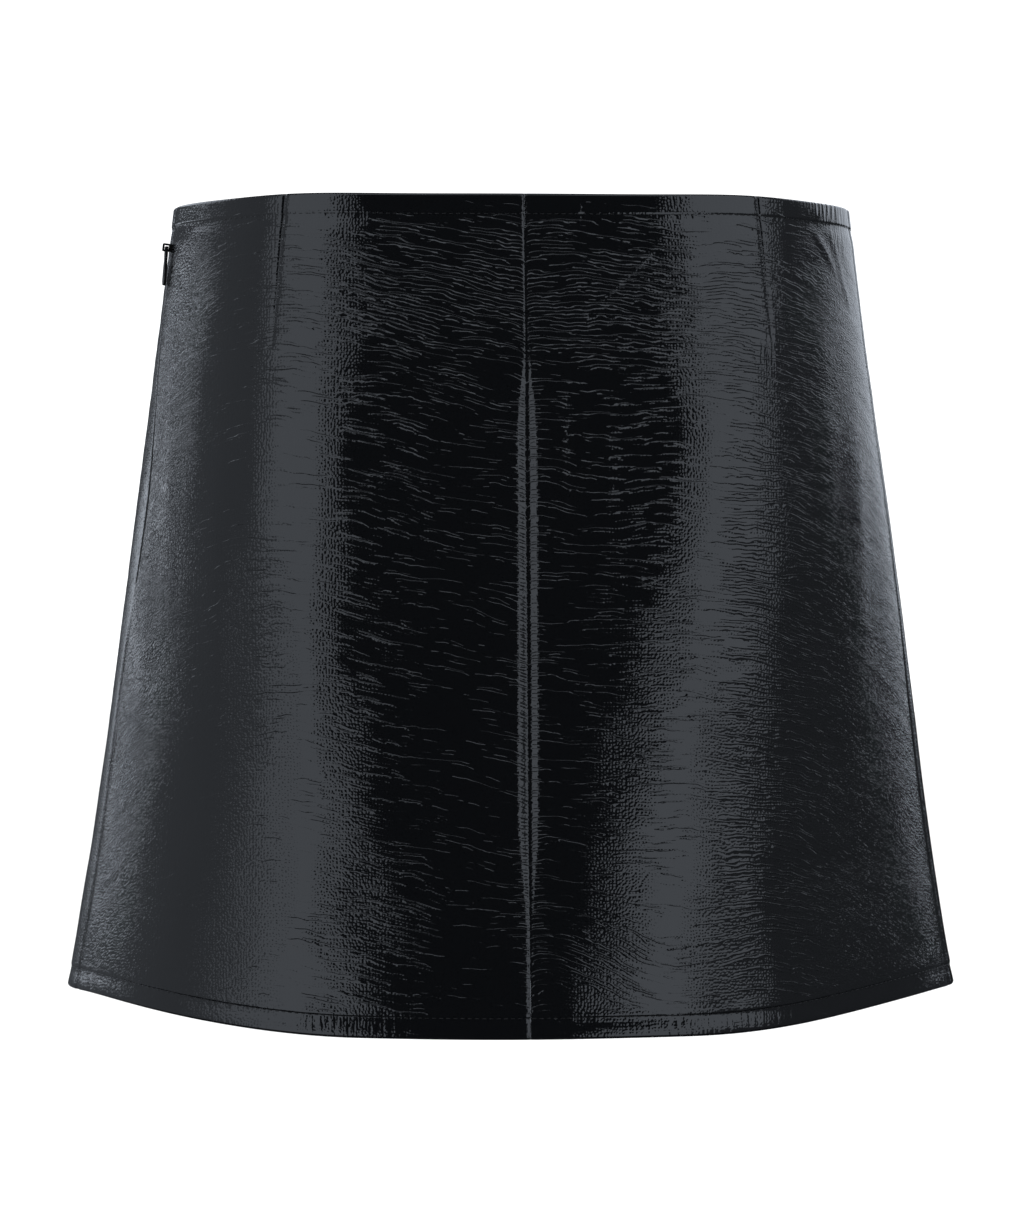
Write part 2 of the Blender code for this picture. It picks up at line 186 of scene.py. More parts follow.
def halfGap(drop, side):
    if side > 0:
        return cut["seamGap"] / 2
    return float(np.interp(drop, zipSeam["gapDrops"], zipSeam["gaps"])) / 2


noiseRepeat = 61  # lumps before the noise repeats


def softNoise(x, y, seed):
    # smooth random values from about -1 to 1, with lumps one unit across
    lean = np.random.default_rng(seed).uniform(0, fullTurn, (noiseRepeat, noiseRepeat))
    left, low = np.floor(x).astype(int), np.floor(y).astype(int)
    partX, partY = x - left, y - low
    easeX, easeY = (part**3 * (part * (part * 6 - 15) + 10) for part in (partX, partY))

    def corner(i, j):
        turn = lean[(low + j) % noiseRepeat, (left + i) % noiseRepeat]
        return np.cos(turn) * (partX - i) + np.sin(turn) * (partY - j)

    lower = corner(0, 0) + easeX * (corner(1, 0) - corner(0, 0))
    upper = corner(0, 1) + easeX * (corner(1, 1) - corner(0, 1))
    return 1.6 * (lower + easeY * (upper - lower))


def layeredNoise(along, down, layers):
    # each layer: its size, how long and how tall its lumps are, seed
    return sum(size * softNoise(along / long, down / tall, seed) for size, long, tall, seed in layers)


panels = {
    "rowStep": 0.00086,
    "fineRowStep": 0.0003,  # at the two stitch lines
    "fineReach": (0.0012, 0.0016),
    "innerRows": 4,  # one row of the inside for each of so many outside
    "backColumnStep": 0.0016,
    "frontColumnStep": 0.0034,
    "cloth": 0.0012,
    "turning": 0.0105,
    "turningEdge": 0.0006,
    "rimSteps": 6,
    "stitchFromEdge": 0.0094,
    "stitchDip": 0.00046,
    "stitchUneven": (0.9, 0.3),  # that depth's middle value and how much it varies
    "stitchUnevenEvery": 0.006,
    "stitchWidths": (0.0006, 0.0045),  # above the line and below it
    "stitchPucker": 0.12,
    "stitchPuckerWidth": 0.0020,
    "edgeColumns": (0, 0.0003, 0.0007, 0.0012, 0.0018, 0.0025, 0.0033, 0.0042, 0.0052, 0.0064, 0.0078),
    "dartColumns": (-0.0028, -0.0015, -0.0008, -0.0004, 0, 0.0004, 0.0008, 0.0015, 0.0028),
    "flatMargin": 0.02,  # in the flat unwrapping, beside the ring of rows
    "flatCap": (0.004, 0.012),  # its end caps, inner and outer edge
    "flatRim": (0.003, 0.99),  # its small round ends, size and height
    "sharpDegrees": 50,
}

crumpling = {
    "everywhere": 0.16,
    "fade": 0.7,  # half is left at the half width and half height of the places below
    "seam": 1.05,  # beside the centre back seam, from these drops down
    "seamWidth": 0.0075,
    "seamDrops": (0.060, 0.090),
    "seamBare": 0.85,  # less again right at the seam
    "seamBareWidth": 0.0014,
    "dart": 0.7,
    "dartWidth": 0.0030,
    "dartEnd": 0.080,
    "waistBare": (0.0095, 0.0125),  # none on the turnings
    "hemBare": (0.0095, 0.013),
}
# Where the surface is crumpled most: distance across from the panel side's middle (centre back or
# centre front), distance below the waist, half width, half height, strength, sharpness of its edge
crumpledBack = [
    (-0.020, 0.049, 0.085, 0.027, 0.92, 4),
    (0.050, 0.053, 0.075, 0.029, 0.90, 4),
    (-0.010, 0.022, 0.100, 0.013, 0.62, 4),
    (-0.060, 0.090, 0.070, 0.020, 0.55, 4),
    (-0.095, 0.055, 0.040, 0.045, 0.60, 4),
    (0.100, 0.060, 0.050, 0.045, 0.65, 4),
    (0.170, 0.075, 0.050, 0.080, 1.00, 4),
    (0.195, 0.170, 0.040, 0.110, 1.00, 4),
    (0.130, 0.170, 0.045, 0.120, 0.78, 4),
    (0.160, 0.290, 0.080, 0.080, 0.85, 4),
    (0.040, 0.345, 0.030, 0.022, 0.70, 4),
    (-0.070, 0.340, 0.040, 0.040, 0.50, 4),
    (-0.160, 0.040, 0.010, 0.022, 0.60, 3),
    (-0.186, 0.098, 0.020, 0.050, 0.95, 3),
    (-0.198, 0.170, 0.020, 0.060, 1.00, 3),
    (-0.214, 0.255, 0.020, 0.060, 0.95, 3),
    (-0.175, 0.215, 0.018, 0.030, 0.60, 3),
    (-0.130, 0.200, 0.030, 0.050, 0.55, 4),
    (-0.040, 0.200, 0.070, 0.170, 0.44, 6),
    (0.050, 0.190, 0.060, 0.150, 0.40, 6),
]
crumpledFront = [
    (0.000, 0.060, 0.130, 0.035, 0.90, 6),
    (-0.190, 0.090, 0.060, 0.080, 0.95, 4),
    (0.190, 0.090, 0.060, 0.080, 0.95, 4),
    (-0.200, 0.210, 0.050, 0.110, 0.75, 4),
    (0.210, 0.220, 0.050, 0.110, 0.75, 4),
    (0.030, 0.180, 0.110, 0.090, 0.40, 4),
    (-0.060, 0.310, 0.110, 0.050, 0.35, 4),
]

# Which way the wrinkles run at the back: fall towards +X for each metre across
wrinkleLean = {
    "across": (-0.250, -0.190, -0.150, -0.100, -0.030, 0.000, 0.050, 0.100, 0.145, 0.180, 0.250),
    "fall":   (-0.550, -0.500, -0.300, 0.150, 0.220, 0.100, 0.020, 0.120, 0.240, 0.450, 0.550),
    "reach": 0.27,
    "points": 541,
    "sway": ((0.0030, 0.050, 0.036, 11), (0.0009, 0.017, 0.012, 12)),
}
frontDroop = 1.2  # the front's wrinkles sag towards both sides, as this times the square across
crossLean = 1.05  # a second family of wrinkles crosses the first with this much more slope

# Short upright puckers, most where the turnings ease round: across, below, half width, half height,
# strength
puckersBack = [
    (0.157, 0.004, 0.018, 0.0055, 1.00),
    (0.168, 0.016, 0.012, 0.0060, 0.80),
    (0.245, 0.352, 0.022, 0.0090, 0.70),
    (0.085, 0.375, 0.040, 0.0045, 0.30),
    (-0.085, 0.374, 0.030, 0.0045, 0.30),
    (-0.235, 0.358, 0.030, 0.0060, 0.35),
    (0.118, 0.070, 0.006, 0.0080, 0.50),
]
puckersFront = [
    (-0.200, 0.004, 0.050, 0.0055, 0.60),
    (0.190, 0.004, 0.050, 0.0055, 0.50),
    (-0.100, 0.368, 0.120, 0.0070, 0.50),
    (0.180, 0.360, 0.080, 0.0070, 0.55),
]
seamPull = (0.0016, 0.0030)  # wrinkles dip into the centre back seam: how far, from how far away
hemSlant = (0.040, 0.345, 0.040, 0.030, 0.55)  # where they slant down: across, below, half sizes, fall

# Creases pressed in by hand: across and below the waist at both ends, width, depth outwards
creasesBack = [
    (0.0570, 0.0280, 0.0440, 0.0395, 0.0011, 0.00055),
    (0.0440, 0.0395, 0.0310, 0.0510, 0.0011, 0.00060),
    (0.0255, 0.0540, 0.0265, 0.0600, 0.0016, 0.00060),
    (-0.0231, 0.0040, -0.0231, 0.0135, 0.0016, 0.00070),
    (0.0239, 0.0030, 0.0239, 0.0135, 0.0016, 0.00070),
    (0.1170, 0.0680, 0.1210, 0.0740, 0.0014, 0.00040),
    (0.1450, 0.0120, 0.1560, 0.0250, 0.0016, 0.00040),
    (0.1500, 0.0150, 0.1640, 0.0330, 0.0018, 0.00045),
    (0.1600, 0.0130, 0.1700, 0.0300, 0.0016, 0.00040),
    (0.1680, 0.0300, 0.1790, 0.0480, 0.0020, 0.00045),
]
creasesFront = [
    (-0.0900, 0.0250, -0.0600, 0.0450, 0.0016, 0.00035),
    (0.1150, 0.0180, 0.0850, 0.0420, 0.0016, 0.00035),
    (0.1500, 0.0300, 0.1250, 0.0550, 0.0018, 0.00040),
]
creaseEnds = 0.4  # share of its depth that a crease has left at both ends

# Low soft ridges that stand up and down the cloth: across, below, half width, half height, depth
ridgesBack = [
    (0.0140, 0.115, 0.0042, 0.034, 0.00118),
    (-0.0270, 0.125, 0.0048, 0.026, 0.00095),
    (-0.0410, 0.150, 0.0045, 0.034, 0.00066),
    (0.0350, 0.120, 0.0048, 0.028, 0.00074),
    (0.1500, 0.110, 0.0080, 0.050, 0.00060),
    (0.1750, 0.160, 0.0080, 0.060, 0.00080),
    (-0.1500, 0.180, 0.0090, 0.050, 0.00045),
    (-0.1850, 0.110, 0.0080, 0.050, 0.00080),
    (-0.2020, 0.180, 0.0070, 0.050, 0.00070),
]
ridgesFront = [
    (0.0250, 0.120, 0.0050, 0.035, 0.00060),
    (-0.0400, 0.150, 0.0055, 0.040, 0.00055),
    (-0.1500, 0.130, 0.0090, 0.060, 0.00060),
    (0.1600, 0.150, 0.0090, 0.060, 0.00060),
]
ridgeSway = (0.0015, 0.02)  # how far they wander, and every how much
ridgeUneven = (0.35, 0.006)  # how much their depth varies, and every how much


def crumpleAt(grid, side):
    across, below = grid["across"], grid["below"]
    strength = np.full_like(across, crumpling["everywhere"])
    for middle, down, halfWide, halfTall, most, edge in crumpledBack if side else crumpledFront:
        far = np.hypot((across - middle) / halfWide, (below - down) / halfTall)
        strength = np.maximum(strength, most * np.exp(-(far**edge) * crumpling["fade"]))
    return strength


def filmCrumpleAt(grid, side):
    # for the film's own wrinkles, which also gather at the centre back seam and the dart
    strength = crumpleAt(grid, side)
    if side:
        lower = smoothStep(*crumpling["seamDrops"], grid["drop"])
        nearSeam = crumpling["seam"] * bump(grid["seamA"], 0, crumpling["seamWidth"]) * lower
        nearDart = crumpling["dart"] * bump(grid["dart"], 0, crumpling["dartWidth"])
        nearSeam = np.maximum(nearSeam, nearDart * (grid["drop"] < crumpling["dartEnd"]))
        bare = crumpling["seamBare"] * bump(grid["seamA"], 0, crumpling["seamBareWidth"])
        strength = np.maximum(strength, nearSeam) * (1 - bare)
    belowTurning = smoothStep(*crumpling["waistBare"], grid["below"])
    return strength * (belowTurning * smoothStep(*crumpling["hemBare"], grid["above"]))


def puckerAt(grid, side):
    fromEdge, wide = panels["stitchFromEdge"], panels["stitchPuckerWidth"]
    strength = sum(panels["stitchPucker"] * bump(grid[key], fromEdge, wide) for key in ("below", "above"))
    for middle, down, halfWide, halfTall, most in puckersBack if side else puckersFront:
        here = bump(grid["across"], middle, halfWide) * bump(grid["below"], down, halfTall)
        strength = np.maximum(strength, most * here)
    return strength


def flowAt(grid, side):
    # every wrinkle follows a line where this keeps one value
    across, below = grid["across"], grid["below"]
    if side:
        fine = np.linspace(-wrinkleLean["reach"], wrinkleLean["reach"], wrinkleLean["points"])
        falls = np.cumsum(np.interp(fine, wrinkleLean["across"], wrinkleLean["fall"])) * (fine[1] - fine[0])
        fall = np.interp(across, fine, falls - np.interp(0, fine, falls))
        fall += seamPull[0] * np.exp(-np.abs(across) / seamPull[1])
        middle, down, halfWide, halfTall, slant = hemSlant
        fall += slant * (across - middle) * bump(across, middle, halfWide) * bump(below, down, halfTall)
    else:
        fall = frontDroop * across**2
    return below - fall + layeredNoise(grid["along"], below, wrinkleLean["sway"])


def panelDrops():
    # rows of points down the outside, closer together at the two stitch lines
    stitchTop, stitchHem = panels["stitchFromEdge"], cut["backLength"] - panels["stitchFromEdge"]
    less, more = panels["fineReach"]
    stops = [panels["cloth"], stitchTop - less, stitchTop + more]
    stops += [stitchHem - more, stitchHem + less, cut["backLength"] - panels["cloth"]]
    steps = [panels["fineRowStep"] if k % 2 else panels["rowStep"] for k in range(len(stops) - 1)]
    counts = [round((b - a) / step) for a, b, step in zip(stops, stops[1:], steps)]
    counts[2] -= sum(counts) % panels["innerRows"]
    parts = [np.linspace(a, b, count + 1)[:-1] for a, b, count in zip(stops, stops[1:], counts)]
    return np.concatenate(parts + [stops[-1:]])


def panelGrid(side, columnStep):
    # side is -1 or 1 for the back panels and 0 for the front one
    kept = ("x", "y", "z", "outX", "outY", "tall", "mark", "along", "across", "seamA", "seamB", "dart")
    grids = {key: [] for key in kept}
    edge, dartSpan, middles = panels["edgeColumns"], panels["dartColumns"], None
    drops = panelDrops()
    for drop in drops:
        level = skirtLevel(drop)
        if side:
            dart = abs(dartAlong(level, side, drop))
            first, last = cut["seamGap"] / 2, abs(seamAlong(level, side)) - halfGap(drop, side)
            stops = [first + edge[-1], dart + dartSpan[0], dart + dartSpan[-1], last - edge[-1]]
        else:
            dart = -1
            first = seamAlong(level, 1) + halfGap(drop, 1)
            last = girthOf(level) + seamAlong(level, -1) - halfGap(drop, -1)
            stops = [first + edge[-1], last - edge[-1]]
        if middles is None:
            middles = [max(2, round((b - a) / columnStep)) for a, b in zip(stops[::2], stops[1::2])]
        marks = [first + d for d in edge]
        marks += list(np.linspace(stops[0], stops[1], middles[0] + 1)[1:-1])
        if side:
            marks += [dart + d for d in dartSpan]
            marks += list(np.linspace(stops[2], stops[3], middles[1] + 1)[1:-1])
        marks += [last - d for d in reversed(edge)]
        marks = np.array(marks)
        places = (side or 1) * marks
        for key in ("x", "y", "z", "outX", "outY", "tall"):
            grids[key].append(np.interp(places, level["along"], level[key]))
        grids["mark"].append(marks)
        grids["along"].append(places)
        grids["across"].append(places if side else places - girthOf(level) / 2)
        grids["seamA"].append(marks - first)
        grids["seamB"].append(last - marks)
        grids["dart"].append(marks - dart)
    grid = {key: np.array(value) for key, value in grids.items()}
    grid["drop"] = np.repeat(drops[:, None], grid["x"].shape[1], 1)
    grid["below"] = grid["tall"] * grid["drop"] / cut["backLength"]
    grid["above"] = grid["tall"] - grid["below"]
    return grid


seamRoll = {  # how deep and how wide the cloth rolls into a seam
    "backTop": (0.00056, 0.00125),
    "backLow": (0.0024, 0.0035),
    "backWidensDrops": (0.068, 0.112),
    "backClosesAbove": (0.045, 0.100),  # above the hem
    "side": (0.0010, 0.0022),
    "dart": (0.00050, 0.00075),
}


def seamShape(grid, side):
    # how far the cloth rolls in at its seams and darts, inside and outside alike
    lower = smoothStep(*seamRoll["backWidensDrops"], grid["drop"])
    lower = lower * smoothStep(*seamRoll["backClosesAbove"], grid["above"])
    deepTop, wideTop = seamRoll["backTop"]
    deepLow, wideLow = seamRoll["backLow"]
    if side:
        deep, wide = deepTop + (deepLow - deepTop) * lower, wideTop + (wideLow - wideTop) * lower
        dip = deep * bump(grid["seamA"], 0, wide)
        fading = np.clip(1 - grid["drop"] / cut["dartLength"], 0, 1) ** 0.5
        dip += seamRoll["dart"][0] * fading * bump(grid["dart"], 0, seamRoll["dart"][1])
    else:
        dip = seamRoll["side"][0] * bump(grid["seamA"], 0, seamRoll["side"][1])
    lips = seamRoll["side"][0] * bump(grid["seamB"], 0, seamRoll["side"][1])
    if side <= 0:
        lips = lips * smoothStep(*zipSeam["rollDrops"], grid["drop"])
    return -dip - lips


def ridgeRelief(grid, side):
    out = np.zeros_like(grid["x"])
    for across, below, halfWide, halfTall, depth in ridgesBack if side else ridgesFront:
        track = np.full_like(out, across * 100)  # another track of the noise for each ridge
        sway = ridgeSway[0] * softNoise(grid["below"] / ridgeSway[1], track, 31)
        broken = 1 + ridgeUneven[0] * softNoise(grid["below"] / ridgeUneven[1], track, 32)
        tall = bump(grid["below"], below, halfTall) * broken
        out += depth * bump(grid["across"] + sway, across, halfWide) * tall
    return out


def creaseRelief(grid, side):
    out = np.zeros_like(grid["x"])
    for startAcross, startBelow, endAcross, endBelow, width, depth in creasesBack if side else creasesFront:
        runX, runY = endAcross - startAcross, endBelow - startBelow
        aheadX, aheadY = grid["across"] - startAcross, grid["below"] - startBelow
        way = np.clip((aheadX * runX + aheadY * runY) / (runX**2 + runY**2), 0, 1)
        far = np.hypot(aheadX - way * runX, aheadY - way * runY)
        fading = creaseEnds + (1 - creaseEnds) * np.sin(math.pi * way)
        out += depth * np.exp(-((far / width) ** 2)) * fading
    return out


waves = {  # the noise layers' size, length, height and seed, as above
    "coarse": ((1, 0.034, 0.0068, 21), (0.5, 0.015, 0.0041, 22)),
    "coarseDepth": 0.00011,
    "swell": ((0.00022, 0.030, 0.040, 23),),
    "fromWaist": (0.010, 0.016),  # none on the turnings
    "fromHem": (0.011, 0.016),
}


def surfaceRelief(grid, side):
    # what only the outer film does: stitch lines pressed in, and wrinkles wide enough to model
    along, below, above = grid["along"], grid["below"], grid["above"]
    middle, varies = panels["stitchUneven"]
    uneven = middle + varies * softNoise(along / panels["stitchUnevenEvery"], below * 0, 41)
    dip = panels["stitchDip"] * uneven
    relief = np.zeros_like(below)
    for past in (below - panels["stitchFromEdge"], panels["stitchFromEdge"] - above):
        # pressed in sharply above the line, and coming out again slowly below it
        relief -= dip * np.exp(-((past / np.where(past < 0, *panels["stitchWidths"])) ** 2))
    if side <= 0:
        lip = zipSeam["lipRound"] * bump(grid["seamB"], 0, zipSeam["lipWidth"])
        relief -= lip * (grid["drop"] < zipSeam["bottom"])
    calm = smoothStep(*waves["fromWaist"], below) * smoothStep(*waves["fromHem"], above)
    coarse = layeredNoise(along, flowAt(grid, side), waves["coarse"])
    relief += waves["coarseDepth"] * coarse * crumpleAt(grid, side) * calm
    relief += layeredNoise(along, below, waves["swell"]) * calm
    return relief + ridgeRelief(grid, side) + creaseRelief(grid, side)


def placed(grid, out, lift=0.0, rows=slice(None)):
    x = grid["x"][rows] + out * grid["outX"][rows]
    y = grid["y"][rows] + out * grid["outY"][rows]
    return np.stack([x, y, grid["z"][rows] + lift + 0 * x], -1)


def finishMesh(name, mesh, materials, sharpDegrees):
    for material in materials:
        mesh.materials.append(material)
    piece = bpy.data.objects.new(name, mesh)
    bpy.context.scene.collection.objects.link(piece)
    bpy.context.view_layer.objects.active = piece
    piece.select_set(True)
    bpy.ops.object.mode_set(mode="EDIT")
    bpy.ops.mesh.select_all(action="SELECT")
    bpy.ops.mesh.normals_make_consistent(inside=False)
    bpy.ops.object.mode_set(mode="OBJECT")
    bpy.ops.object.shade_smooth_by_angle(angle=math.radians(sharpDegrees))
    piece.select_set(False)
    return piece


def addLayers(mesh, maps, strengths):
    # what the film's material reads: places on the flat cloth as UV maps, strengths as attributes
    corners = np.zeros(len(mesh.loops), np.int32)
    mesh.loops.foreach_get("vertex_index", corners)
    for title, values in maps.items():
        layer = mesh.uv_layers.new(name=title)
        layer.uv.foreach_set("vector", values.reshape(-1, 2)[corners].astype(np.float32).ravel())
    for title, values in strengths.items():
        layer = mesh.attributes.new(title, "FLOAT", "POINT")
        layer.data.foreach_set("value", values.astype(np.float32).ravel())


def gridFaces(index):
    # closed round the rows, open at the first and the last column
    following = np.roll(index, -1, 0)
    quads = np.stack([index[:, :-1], following[:, :-1], following[:, 1:], index[:, 1:]], -1)
    return quads.reshape(-1, 4).tolist()


def panelRing(grid, film):
    # rows of points down the outside, round the hem edge, up the inside and round the waist edge
    inner, radius = slice(None, None, panels["innerRows"]), panels["cloth"]
    outside, inside = placed(grid, film), placed(grid, grid["inside"][inner], 0.0, inner)
    turns = np.linspace(0, math.pi, panels["rimSteps"] + 2)[1:-1]
    hemRim = [placed(grid, film[-1] - radius * (1 - math.cos(a)), -radius * math.sin(a), -1) for a in turns]
    waistRim = [placed(grid, film[0] - radius * (1 - math.cos(a)), radius * math.sin(a), 0) for a in turns]
    return np.concatenate([outside, np.array(hemRim), inside[::-1], np.array(waistRim[::-1])])


def panelFaces(index, rows, insideRows):
    # faces, and a flat unwrapping for each corner: round the ring and across, the end caps at the sides
    ringRows, columns = index.shape
    faces = gridFaces(index)
    margin, rimSize, rimHeight = panels["flatMargin"], *panels["flatRim"]
    ringPart = np.arange(ringRows + 1) / ringRows
    acrossPart = margin + (1 - 2 * margin) * np.arange(columns) / (columns - 1)
    left, right = acrossPart[None, :-1], acrossPart[None, 1:]
    left, right, near, after = np.broadcast_arrays(left, right, ringPart[:-1, None], ringPart[1:, None])
    unwrapped = np.stack([left, near, left, after, right, after, right, near], -1).reshape(-1, 2).tolist()
    insideFrom, step = rows + panels["rimSteps"], panels["innerRows"]
    for column in (0, columns - 1):
        innerU, outerU = (1 - u if column else u for u in panels["flatCap"])
        outer = index[:rows, column].tolist()
        inward = index[insideFrom : insideFrom + insideRows, column].tolist()[::-1]
        for k in range(insideRows - 1):
            span = range(k * step, (k + 1) * step + 1)
            faces.append([inward[k + 1], inward[k]] + [outer[row] for row in span])
            unwrapped += [(innerU, ringPart[span[-1]]), (innerU, ringPart[span[0]])]
            unwrapped += [(outerU, ringPart[row]) for row in span]
        for rim in (index[rows - 1 : insideFrom + 1, column], index[insideFrom + insideRows - 1 :, column]):
            faces.append(rim.tolist() + ([outer[0]] if rim[-1] >= index[-1, 0] else []))
            turned = np.linspace(0, math.pi, len(faces[-1]))
            unwrapped += [(outerU + rimSize * math.cos(a), rimHeight + rimSize * math.sin(a)) for a in turned]
    return faces, unwrapped


def buildPanel(name, side, columnStep, materials):
    grid = panelGrid(side, columnStep)
    shape = seamShape(grid, side)
    edge = (panels["turning"], panels["turning"] + panels["turningEdge"])
    thick = panels["cloth"] * (2 - smoothStep(*edge, grid["below"]) * smoothStep(*edge, grid["above"]))
    grid["inside"] = shape - thick
    ring = panelRing(grid, shape + surfaceRelief(grid, side))
    rows, columns = grid["x"].shape
    inner = slice(None, None, panels["innerRows"])
    insideFrom, insideRows = rows + panels["rimSteps"], len(grid["x"][inner])
    index = np.arange(len(ring) * columns).reshape(len(ring), columns)
    faces, unwrapped = panelFaces(index, rows, insideRows)
    mesh = bpy.data.meshes.new(name)
    mesh.from_pydata(ring.reshape(-1, 3).tolist(), [], faces)
    baking = mesh.uv_layers.new(name="OFBake")
    baking.uv.foreach_set("vector", np.array(unwrapped, np.float32).ravel())
    # outside is film, inside is knit except where the edges are turned in
    kinds = np.zeros(len(faces), np.int32)
    turned = np.minimum(grid["below"], grid["above"])[inner][::-1] < panels["turning"]
    gridKinds = kinds[: len(ring) * (columns - 1)].reshape(len(ring), columns - 1)
    gridKinds[insideFrom : insideFrom + insideRows] = ~turned[:, :-1]
    mesh.polygons.foreach_set("material_index", kinds)

    def spread(values):
        hem, waist = [values[-1]] * panels["rimSteps"], [values[0]] * panels["rimSteps"]
        return np.concatenate([values, hem, values[inner][::-1], waist])

    along = spread(grid["along"])
    maps = {"cloth": np.stack([along, spread(grid["below"])], -1)}
    maps["flow"] = np.stack([along, spread(flowAt(grid, side))], -1)
    strengths = {"crumple": spread(filmCrumpleAt(grid, side)), "pucker": spread(puckerAt(grid, side))}
    addLayers(mesh, maps, strengths)
    piece = finishMesh(name, mesh, materials, panels["sharpDegrees"])
    print(name, len(mesh.polygons), "faces")
    return piece, grid


def readAcross(grid, key, rows, marks):
    # a value of the panel at chosen marks in each of its rows
    picked = zip(marks, grid["mark"][rows], grid[key][rows])
    return np.array([np.interp(wanted, have, values) for wanted, have, values in picked])


insideStrips = {
    "allowance": 0.010,
    "fromEdge": 0.0002,
    "thick": 0.0009,
    "thinEdge": (0.86, 0.05),  # thinner beyond this share of its width, to the root of this share
    "clear": 0.00006,
    "columns": 9,
    "rowStep": 4,
    "endGap": 0.0118,  # they end where the turnings begin
    "belowZip": 0.0035,
    "dartFlap": 0.0085,
    "dartTip": 0.0006,  # width left at the dart's point
    "dartGap": 0.0025,  # the flap ends this far above it
    "dartRowStep": 3,
    "crumple": 0.3,
    "pucker": 0.15,
}


def buildStrip(name, grid, marks, rowPick, materials):
    # a strip of the cloth pressed flat on the panel's inside, its film side towards the wearer
    rows = np.arange(len(grid["mark"]))[rowPick]
    marks = marks[rowPick]
    strip = {key: readAcross(grid, key, rows, marks) for key in ("x", "y", "z", "outX", "outY", "inside")}
    near = strip["inside"] - insideStrips["clear"]
    lie = np.linspace(0, 1, insideStrips["columns"])
    thinFrom, least = insideStrips["thinEdge"]
    softEdge = np.sqrt(np.clip(1 - np.maximum(0, (lie - thinFrom) / (1 - thinFrom)) ** 2, least, 1))
    outer, inner = placed(strip, near), placed(strip, near - insideStrips["thick"] * softEdge)
    count, columns = near.shape
    points = np.concatenate([outer, inner[::-1]])
    index = np.arange(2 * count * columns).reshape(2 * count, columns)
    faces = gridFaces(index)
    for column in (0, columns - 1):
        outerEdge, innerEdge = index[:count, column], index[count:, column][::-1]
        for k in range(count - 1):
            faces.append([int(v) for v in (outerEdge[k], outerEdge[k + 1], innerEdge[k + 1], innerEdge[k])])
    mesh = bpy.data.meshes.new(name)
    mesh.from_pydata(points.reshape(-1, 3).tolist(), [], faces)
    along = np.concatenate([marks, marks[::-1]])
    below = np.concatenate([strip["z"], strip["z"][::-1]]) * -1
    flat = np.stack([along, below], -1)
    strengths = {title: np.full(along.shape, insideStrips[title]) for title in ("crumple", "pucker")}
    addLayers(mesh, {"cloth": flat, "flow": flat}, strengths)
    return finishMesh(name, mesh, materials, panels["sharpDegrees"])


def insideStripsOf(name, side, grid, materials):
    # the seam allowances at both sides of a panel and the flap of its dart
    drops = grid["drop"][:, 0]
    ends = (insideStrips["endGap"], cut["backLength"] - insideStrips["endGap"])
    first, last = np.searchsorted(drops, ends)
    zipEnd = np.searchsorted(drops, zipSeam["bottom"] + insideStrips["belowZip"])
    lie = np.linspace(insideStrips["fromEdge"], insideStrips["allowance"], insideStrips["columns"])
    rowStep = insideStrips["rowStep"]
    strips = [
        ("allowanceA_", grid["mark"][:, :1] + lie, slice(first, last, rowStep)),
        ("allowanceB_", grid["mark"][:, -1:] - lie, slice(zipEnd if side <= 0 else first, last, rowStep)),
    ]
    if side:
        dart = grid["mark"][:, :1] - grid["dart"][:, :1]
        wide = insideStrips["dartFlap"] * (1 - drops / cut["dartLength"]) + insideStrips["dartTip"]
        flap = dart - wide[:, None] * np.linspace(0, 1, insideStrips["columns"])
        dartEnd = np.searchsorted(drops, cut["dartLength"] - insideStrips["dartGap"])
        strips.append(("dartFlap_", flap, slice(first, dartEnd, insideStrips["dartRowStep"])))
    return [buildStrip(title + name, grid, marks, pick, materials) for title, marks, pick in strips]


def linearColor(hexCode):
    values = [int(hexCode[i : i + 2], 16) / 255 for i in (1, 3, 5)]
    return [v / 12.92 if v < 0.04045 else ((v + 0.055) / 1.055) ** 2.4 for v in values] + [1]


def addNode(tree, kind, output=0, inputs=None, **settings):
    # adds a node with its settings and links, and gives back one of its outputs
    node = tree.nodes.new("ShaderNode" + kind)
    for name, value in settings.items():
        setattr(node, name, value)
    for name, value in (inputs or {}).items():
        if isinstance(value, bpy.types.NodeSocket):
            tree.links.new(value, node.inputs[name])
        else:
            node.inputs[name].default_value = value
    return node.outputs[output] if len(node.outputs) else node


def newMaterial(name, color, roughness, ior=1.5):
    material = bpy.data.materials.new(name)
    material.use_nodes = True
    shader = material.node_tree.nodes["Principled BSDF"]
    shader.inputs["Base Color"].default_value = linearColor(color)
    shader.inputs["Roughness"].default_value = roughness
    shader.inputs["IOR"].default_value = ior
    return material, material.node_tree, shader


